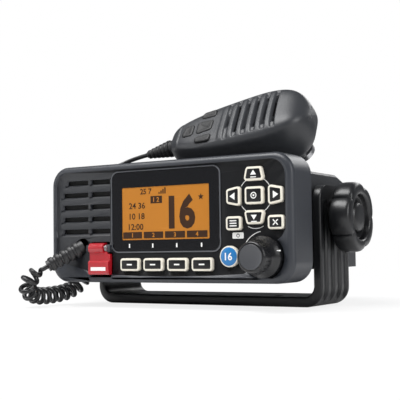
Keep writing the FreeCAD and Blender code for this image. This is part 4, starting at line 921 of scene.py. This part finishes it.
def makeMic(m, keyCorners):
    # Cross-sections along x: a box whose corners are rounded by powers of the cosine and sine, and whose half
    # width and thickness fall towards both ends. Points lie closer together at the ends.
    rows, count = 230, 176
    x = m["head"] - (m["head"] + m["tail"]) * (0.5 - 0.5 * np.cos(np.linspace(0, math.pi, rows)))
    x = 0.5 * x + 0.5 * np.linspace(m["head"], -m["tail"], rows)
    centre, reach = (m["head"] - m["tail"]) / 2, (m["head"] + m["tail"]) / 2
    xi = np.clip(np.abs(x - centre) / reach, 0, 1)
    tailward = np.clip((8.0 - x) / (8.0 + m["tail"]), 0, 1)
    fall = 1 - 0.34 * tailward ** 1.3
    edge = np.where(x > centre, (1 - xi ** 3.6) ** (1 / 2.3), (1 - xi ** 3.0) ** (1 / 2.2))
    half = m["half"] * fall * edge
    thick = np.where(x > centre, (1 - xi ** 7) ** (1 / 2.2), (1 - xi ** 9) ** (1 / 2.4))
    low = -m["depth"] + m["backSlope"] * np.clip(-x / (m["tail"] + 10.0), 0, 1)
    middle = -m["seam"] - 1.0
    v = np.linspace(0, 2 * math.pi, count, endpoint=False)
    c, s = np.cos(v), np.sin(v)
    yy = np.sign(c) * np.abs(c) ** m["widthPower"]
    zz = np.sign(s) * np.abs(s) ** np.where(s > 0, m["topPower"], m["lowPower"])
    y = half[:, None] * yy[None, :]
    topHeight = (m["faceHigh"] - middle) * thick[:, None]
    lowHeight = (middle - low)[:, None] * thick[:, None]
    z = middle + np.where(zz[None, :] > 0, topHeight * zz[None, :], lowHeight * zz[None, :])
    xs = np.repeat(x[:, None], count, 1)
    # The face is narrower than the seam, and its ends draw in.
    rise = np.clip((z - middle) / (m["faceHigh"] - middle), 0, 1)
    y = y * (1 - 0.13 * rise ** 1.6)
    xs = xs - 2.6 * rise ** 1.6 * np.sign(xs - centre) * np.clip(np.abs(xs - centre) / reach, 0, 1) ** 6
    # The face's slots, each with a slit pressed deeper into the top; the seam as a fine groove.
    face = np.clip((z + 2.2) / 1.6, 0, 1) * (zz[None, :] > 0)
    press = np.zeros_like(z)
    slit = np.zeros_like(z)
    for i in range(m["slots"]):
        at = (i - (m["slots"] - 1) / 2) * m["slotPitch"]
        bent = at + 0.0035 * y ** 2 * (0.3 if i < 3 else 0.6)
        press = np.maximum(press, bump(xs - bent, 1.35, 0.9) * bump(y, m["slotHalf"], 1.4))
        length = 4.5 if i == 0 else 10.5
        slit = np.maximum(slit, bump(xs - bent - 0.3, 0.85, 0.4) * bump(y, length, 0.6))
    z = z - face * (0.9 * press + 1.8 * slit)
    keyBed = bump(xs + 34.5, 14.5, 1.2) * bump(y, 13.6, 1.2)
    z = z - face * 0.35 * keyBed
    seam = bump(z + m["seam"], 0.35, 0.35)
    y = y * (1 - 0.032 * seam)
    xs = xs - 0.7 * seam * np.clip((xs - 18.0) / 8.0, 0, 1)
    pts = np.stack([xs, y, z], -1).reshape(-1, 3)
    faces = ringFaces(rows, count)
    piece = addMesh("micShell", micWorld(pts), faces, micMat, "mic", sharp=70, slot="mic_grey")
    # The slits take the near-black finish: painted shade standing in for the depth of the open slots.
    piece.data.materials.append(micSlitShadeMat)
    slitShade = (face * slit > 0.2).reshape(-1)
    # The last two faces are the caps.
    slots = np.append(slitShade[np.array(faces[:-2])].all(1), [False, False]).astype(int)
    piece.data.polygons.foreach_set("material_index", slots)
    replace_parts(piece, "mic_front_shell", "mic_rear_shell")
    for node, corners in keyCorners.items():
        outline = roundOutline(corners, 2.2)
        rings = [np.column_stack([inset(outline, a), np.full(len(outline), h)])
                 for a, h in ((0, -2.6), (0, 0.2), (0.2, 0.6), (0.7, 0.85), (1.6, 0.8), (2.4, 0.7))]
        cap = micWorld(np.vstack(rings)), ringFaces(len(rings), len(outline))
        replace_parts(addMesh(node + ".cap", *cap, micKeyMat, node, slot="rubber_black"), node)


makeMic(micSettings, micKeys)
print("microphone done")


# Cord and its boots

panelBoot = {"start": (-58.5, -58.7, 32.9), "end": (-69.5, -72.5, 23.6), "sides": 64}
cordPoints = [(-78.0, -79.3, 17.5), (-82.5, -76.0, 9.5), (-84.0, -66.0, 6.0), (-83.0, -54.0, 6.2),
              (-81.0, -42.0, 7.5), (-78.5, -31.4, 12.5), (-77.6, -27.8, 24.0), (-78.0, -27.4, 44.0),
              (-79.5, -26.4, 64.0), (-76.5, -20.0, 80.0), (-66.0, -12.5, 84.0)]
curl = {"wire": 2.6, "radius": 3.9, "pitch": 5.0, "gap": 0.6, "tail": 60.0, "leastBend": 6.5, "rampTurns": 1.6,
        "routeStep": 0.2, "wireStep": 0.6, "sides": 14, "blendStart": (-0.078, -0.028, 0.045),
        "blendEnd": (-0.047, -0.010, 0.088)}


def bootProfile(r0, r1, length, ribs):
    # Profile rows of a boot that narrows from r0 to r1: each rib rises, runs level and drops to a groove.
    rows = [(r0 - 1.6, -3.0), (r0 - 0.5, -3.0), (r0 - 0.5, 0.0)]
    pitch = length / ribs
    for i in range(ribs):
        wide = r0 + (r1 - r0) * i / ribs
        base = pitch * i
        rows += [(wide - 0.25, base + 0.02), (wide, base + 0.3), (wide, base + 0.5 * pitch),
                 (wide - 0.25, base + 0.6 * pitch), (wide - 0.8, base + 0.68 * pitch),
                 (wide - 0.85, base + 0.95 * pitch)]
    rows += [(r1 - 0.7, length), (1.3, length)]
    return rows


def makeBoots():
    start, end = np.array(panelBoot["start"]), np.array(panelBoot["end"])
    length = np.linalg.norm(end - start)
    sleeve = lathe(bootProfile(4.6, 3.9, length, 5), panelBoot["sides"], start, end - start)
    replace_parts(addMesh("panelSleeve", *sleeve, rubberMat, "radio", slot="rubber_black"), "panel_boot")
    place = micWorld([(-micSettings["tail"], 0, micSettings["bootHigh"])])[0] / mm
    sleeve = lathe(bootProfile(5.2, 2.2, micSettings["bootLength"], 6), panelBoot["sides"], place, -micTurn[0])
    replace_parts(addMesh("micSleeve", *sleeve, rubberMat, "mic", slot="rubber_black"), "mic_boot")


def routeLine():
    # The route's smooth line, read from a NURBS spline with the chosen points as its controls.
    tip = -micSettings["tail"] - micSettings["bootLength"]
    end = micWorld([(tip, 0, micSettings["bootHigh"])])[0]
    before = micWorld([(tip - 11.0, 0, micSettings["bootHigh"])])[0]
    points = [np.array(panelBoot["end"]) * mm] + [np.array(p) * mm for p in cordPoints] + [before, end]
    curve = bpy.data.curves.new("route", "CURVE")
    curve.dimensions = "3D"
    spline = curve.splines.new("NURBS")
    spline.points.add(len(points) - 1)
    for target, p in zip(spline.points, points):
        target.co = (p[0], p[1], p[2], 1)
    spline.order_u = 3
    spline.use_endpoint_u = True
    spline.resolution_u = 24
    return readCurve(curve)[0]


def evenly(line, step):
    # The same line with points a step apart, and each point's distance from the start.
    lengths = np.concatenate([[0], np.cumsum(np.linalg.norm(np.diff(line, axis=0), axis=1))])
    s = np.linspace(0, lengths[-1], int(lengths[-1] / step) + 1)
    return np.stack([np.interp(s, lengths, line[:, k]) for k in range(3)], -1), s


def smoothed(values, width):
    # A running mean over an odd width, with the end values carried on.
    return np.convolve(np.pad(values, width // 2, mode="edge"), np.ones(width) / width, "valid")


def makeCord(c):
    # The wire winds round the route, one turn to each pitch. The pitch grows where the route bends, so that the
    # turns keep their gap on the inside, and the winding fades in and out at the coil's ends.
    rough, s = evenly(routeLine(), c["routeStep"] * mm)
    line = np.stack([smoothed(rough[:, k], 15) for k in range(3)], -1)
    line[:8], line[-8:] = rough[:8], rough[-8:]
    along, side, up = pathFrames(line)
    bend = smoothed(np.linalg.norm(np.gradient(along, s, axis=0), axis=1), 41)
    radius = np.maximum(1 / np.maximum(bend, 1e-3), c["leastBend"] * mm)
    pitch = np.maximum(c["pitch"] * mm, (c["wire"] + c["gap"]) * mm * radius / (radius - c["radius"] * mm))
    turn = np.concatenate([[0], np.cumsum(np.diff(s) / pitch[1:])])
    begin, end = c["wire"] * mm, s[-1] - c["tail"] * mm
    ramp = c["rampTurns"] * c["pitch"] * mm
    fade = np.clip((s - begin) / ramp, 0, 1) * np.clip((end - s) / ramp, 0, 1)
    fade = fade * fade * (3 - 2 * fade)
    angle = 2 * math.pi * turn
    wave = c["radius"] * mm * fade
    wire = line + wave[:, None] * (np.cos(angle)[:, None] * side + np.sin(angle)[:, None] * up)
    wire, length = evenly(wire, c["wireStep"] * mm)
    piece = addMesh("curlyCord", *tube(wire, c["wire"] / 2 * mm, c["sides"]), cordMat, None, slot="cord_black")
    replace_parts(piece, "mic_cord")
    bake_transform(piece)
    print("cord", round(float(length[-1]), 4), "m,", round(float(turn[-1]), 1), "turns on the whole route")


makeBoots()
makeCord(curl)
print("cord done")
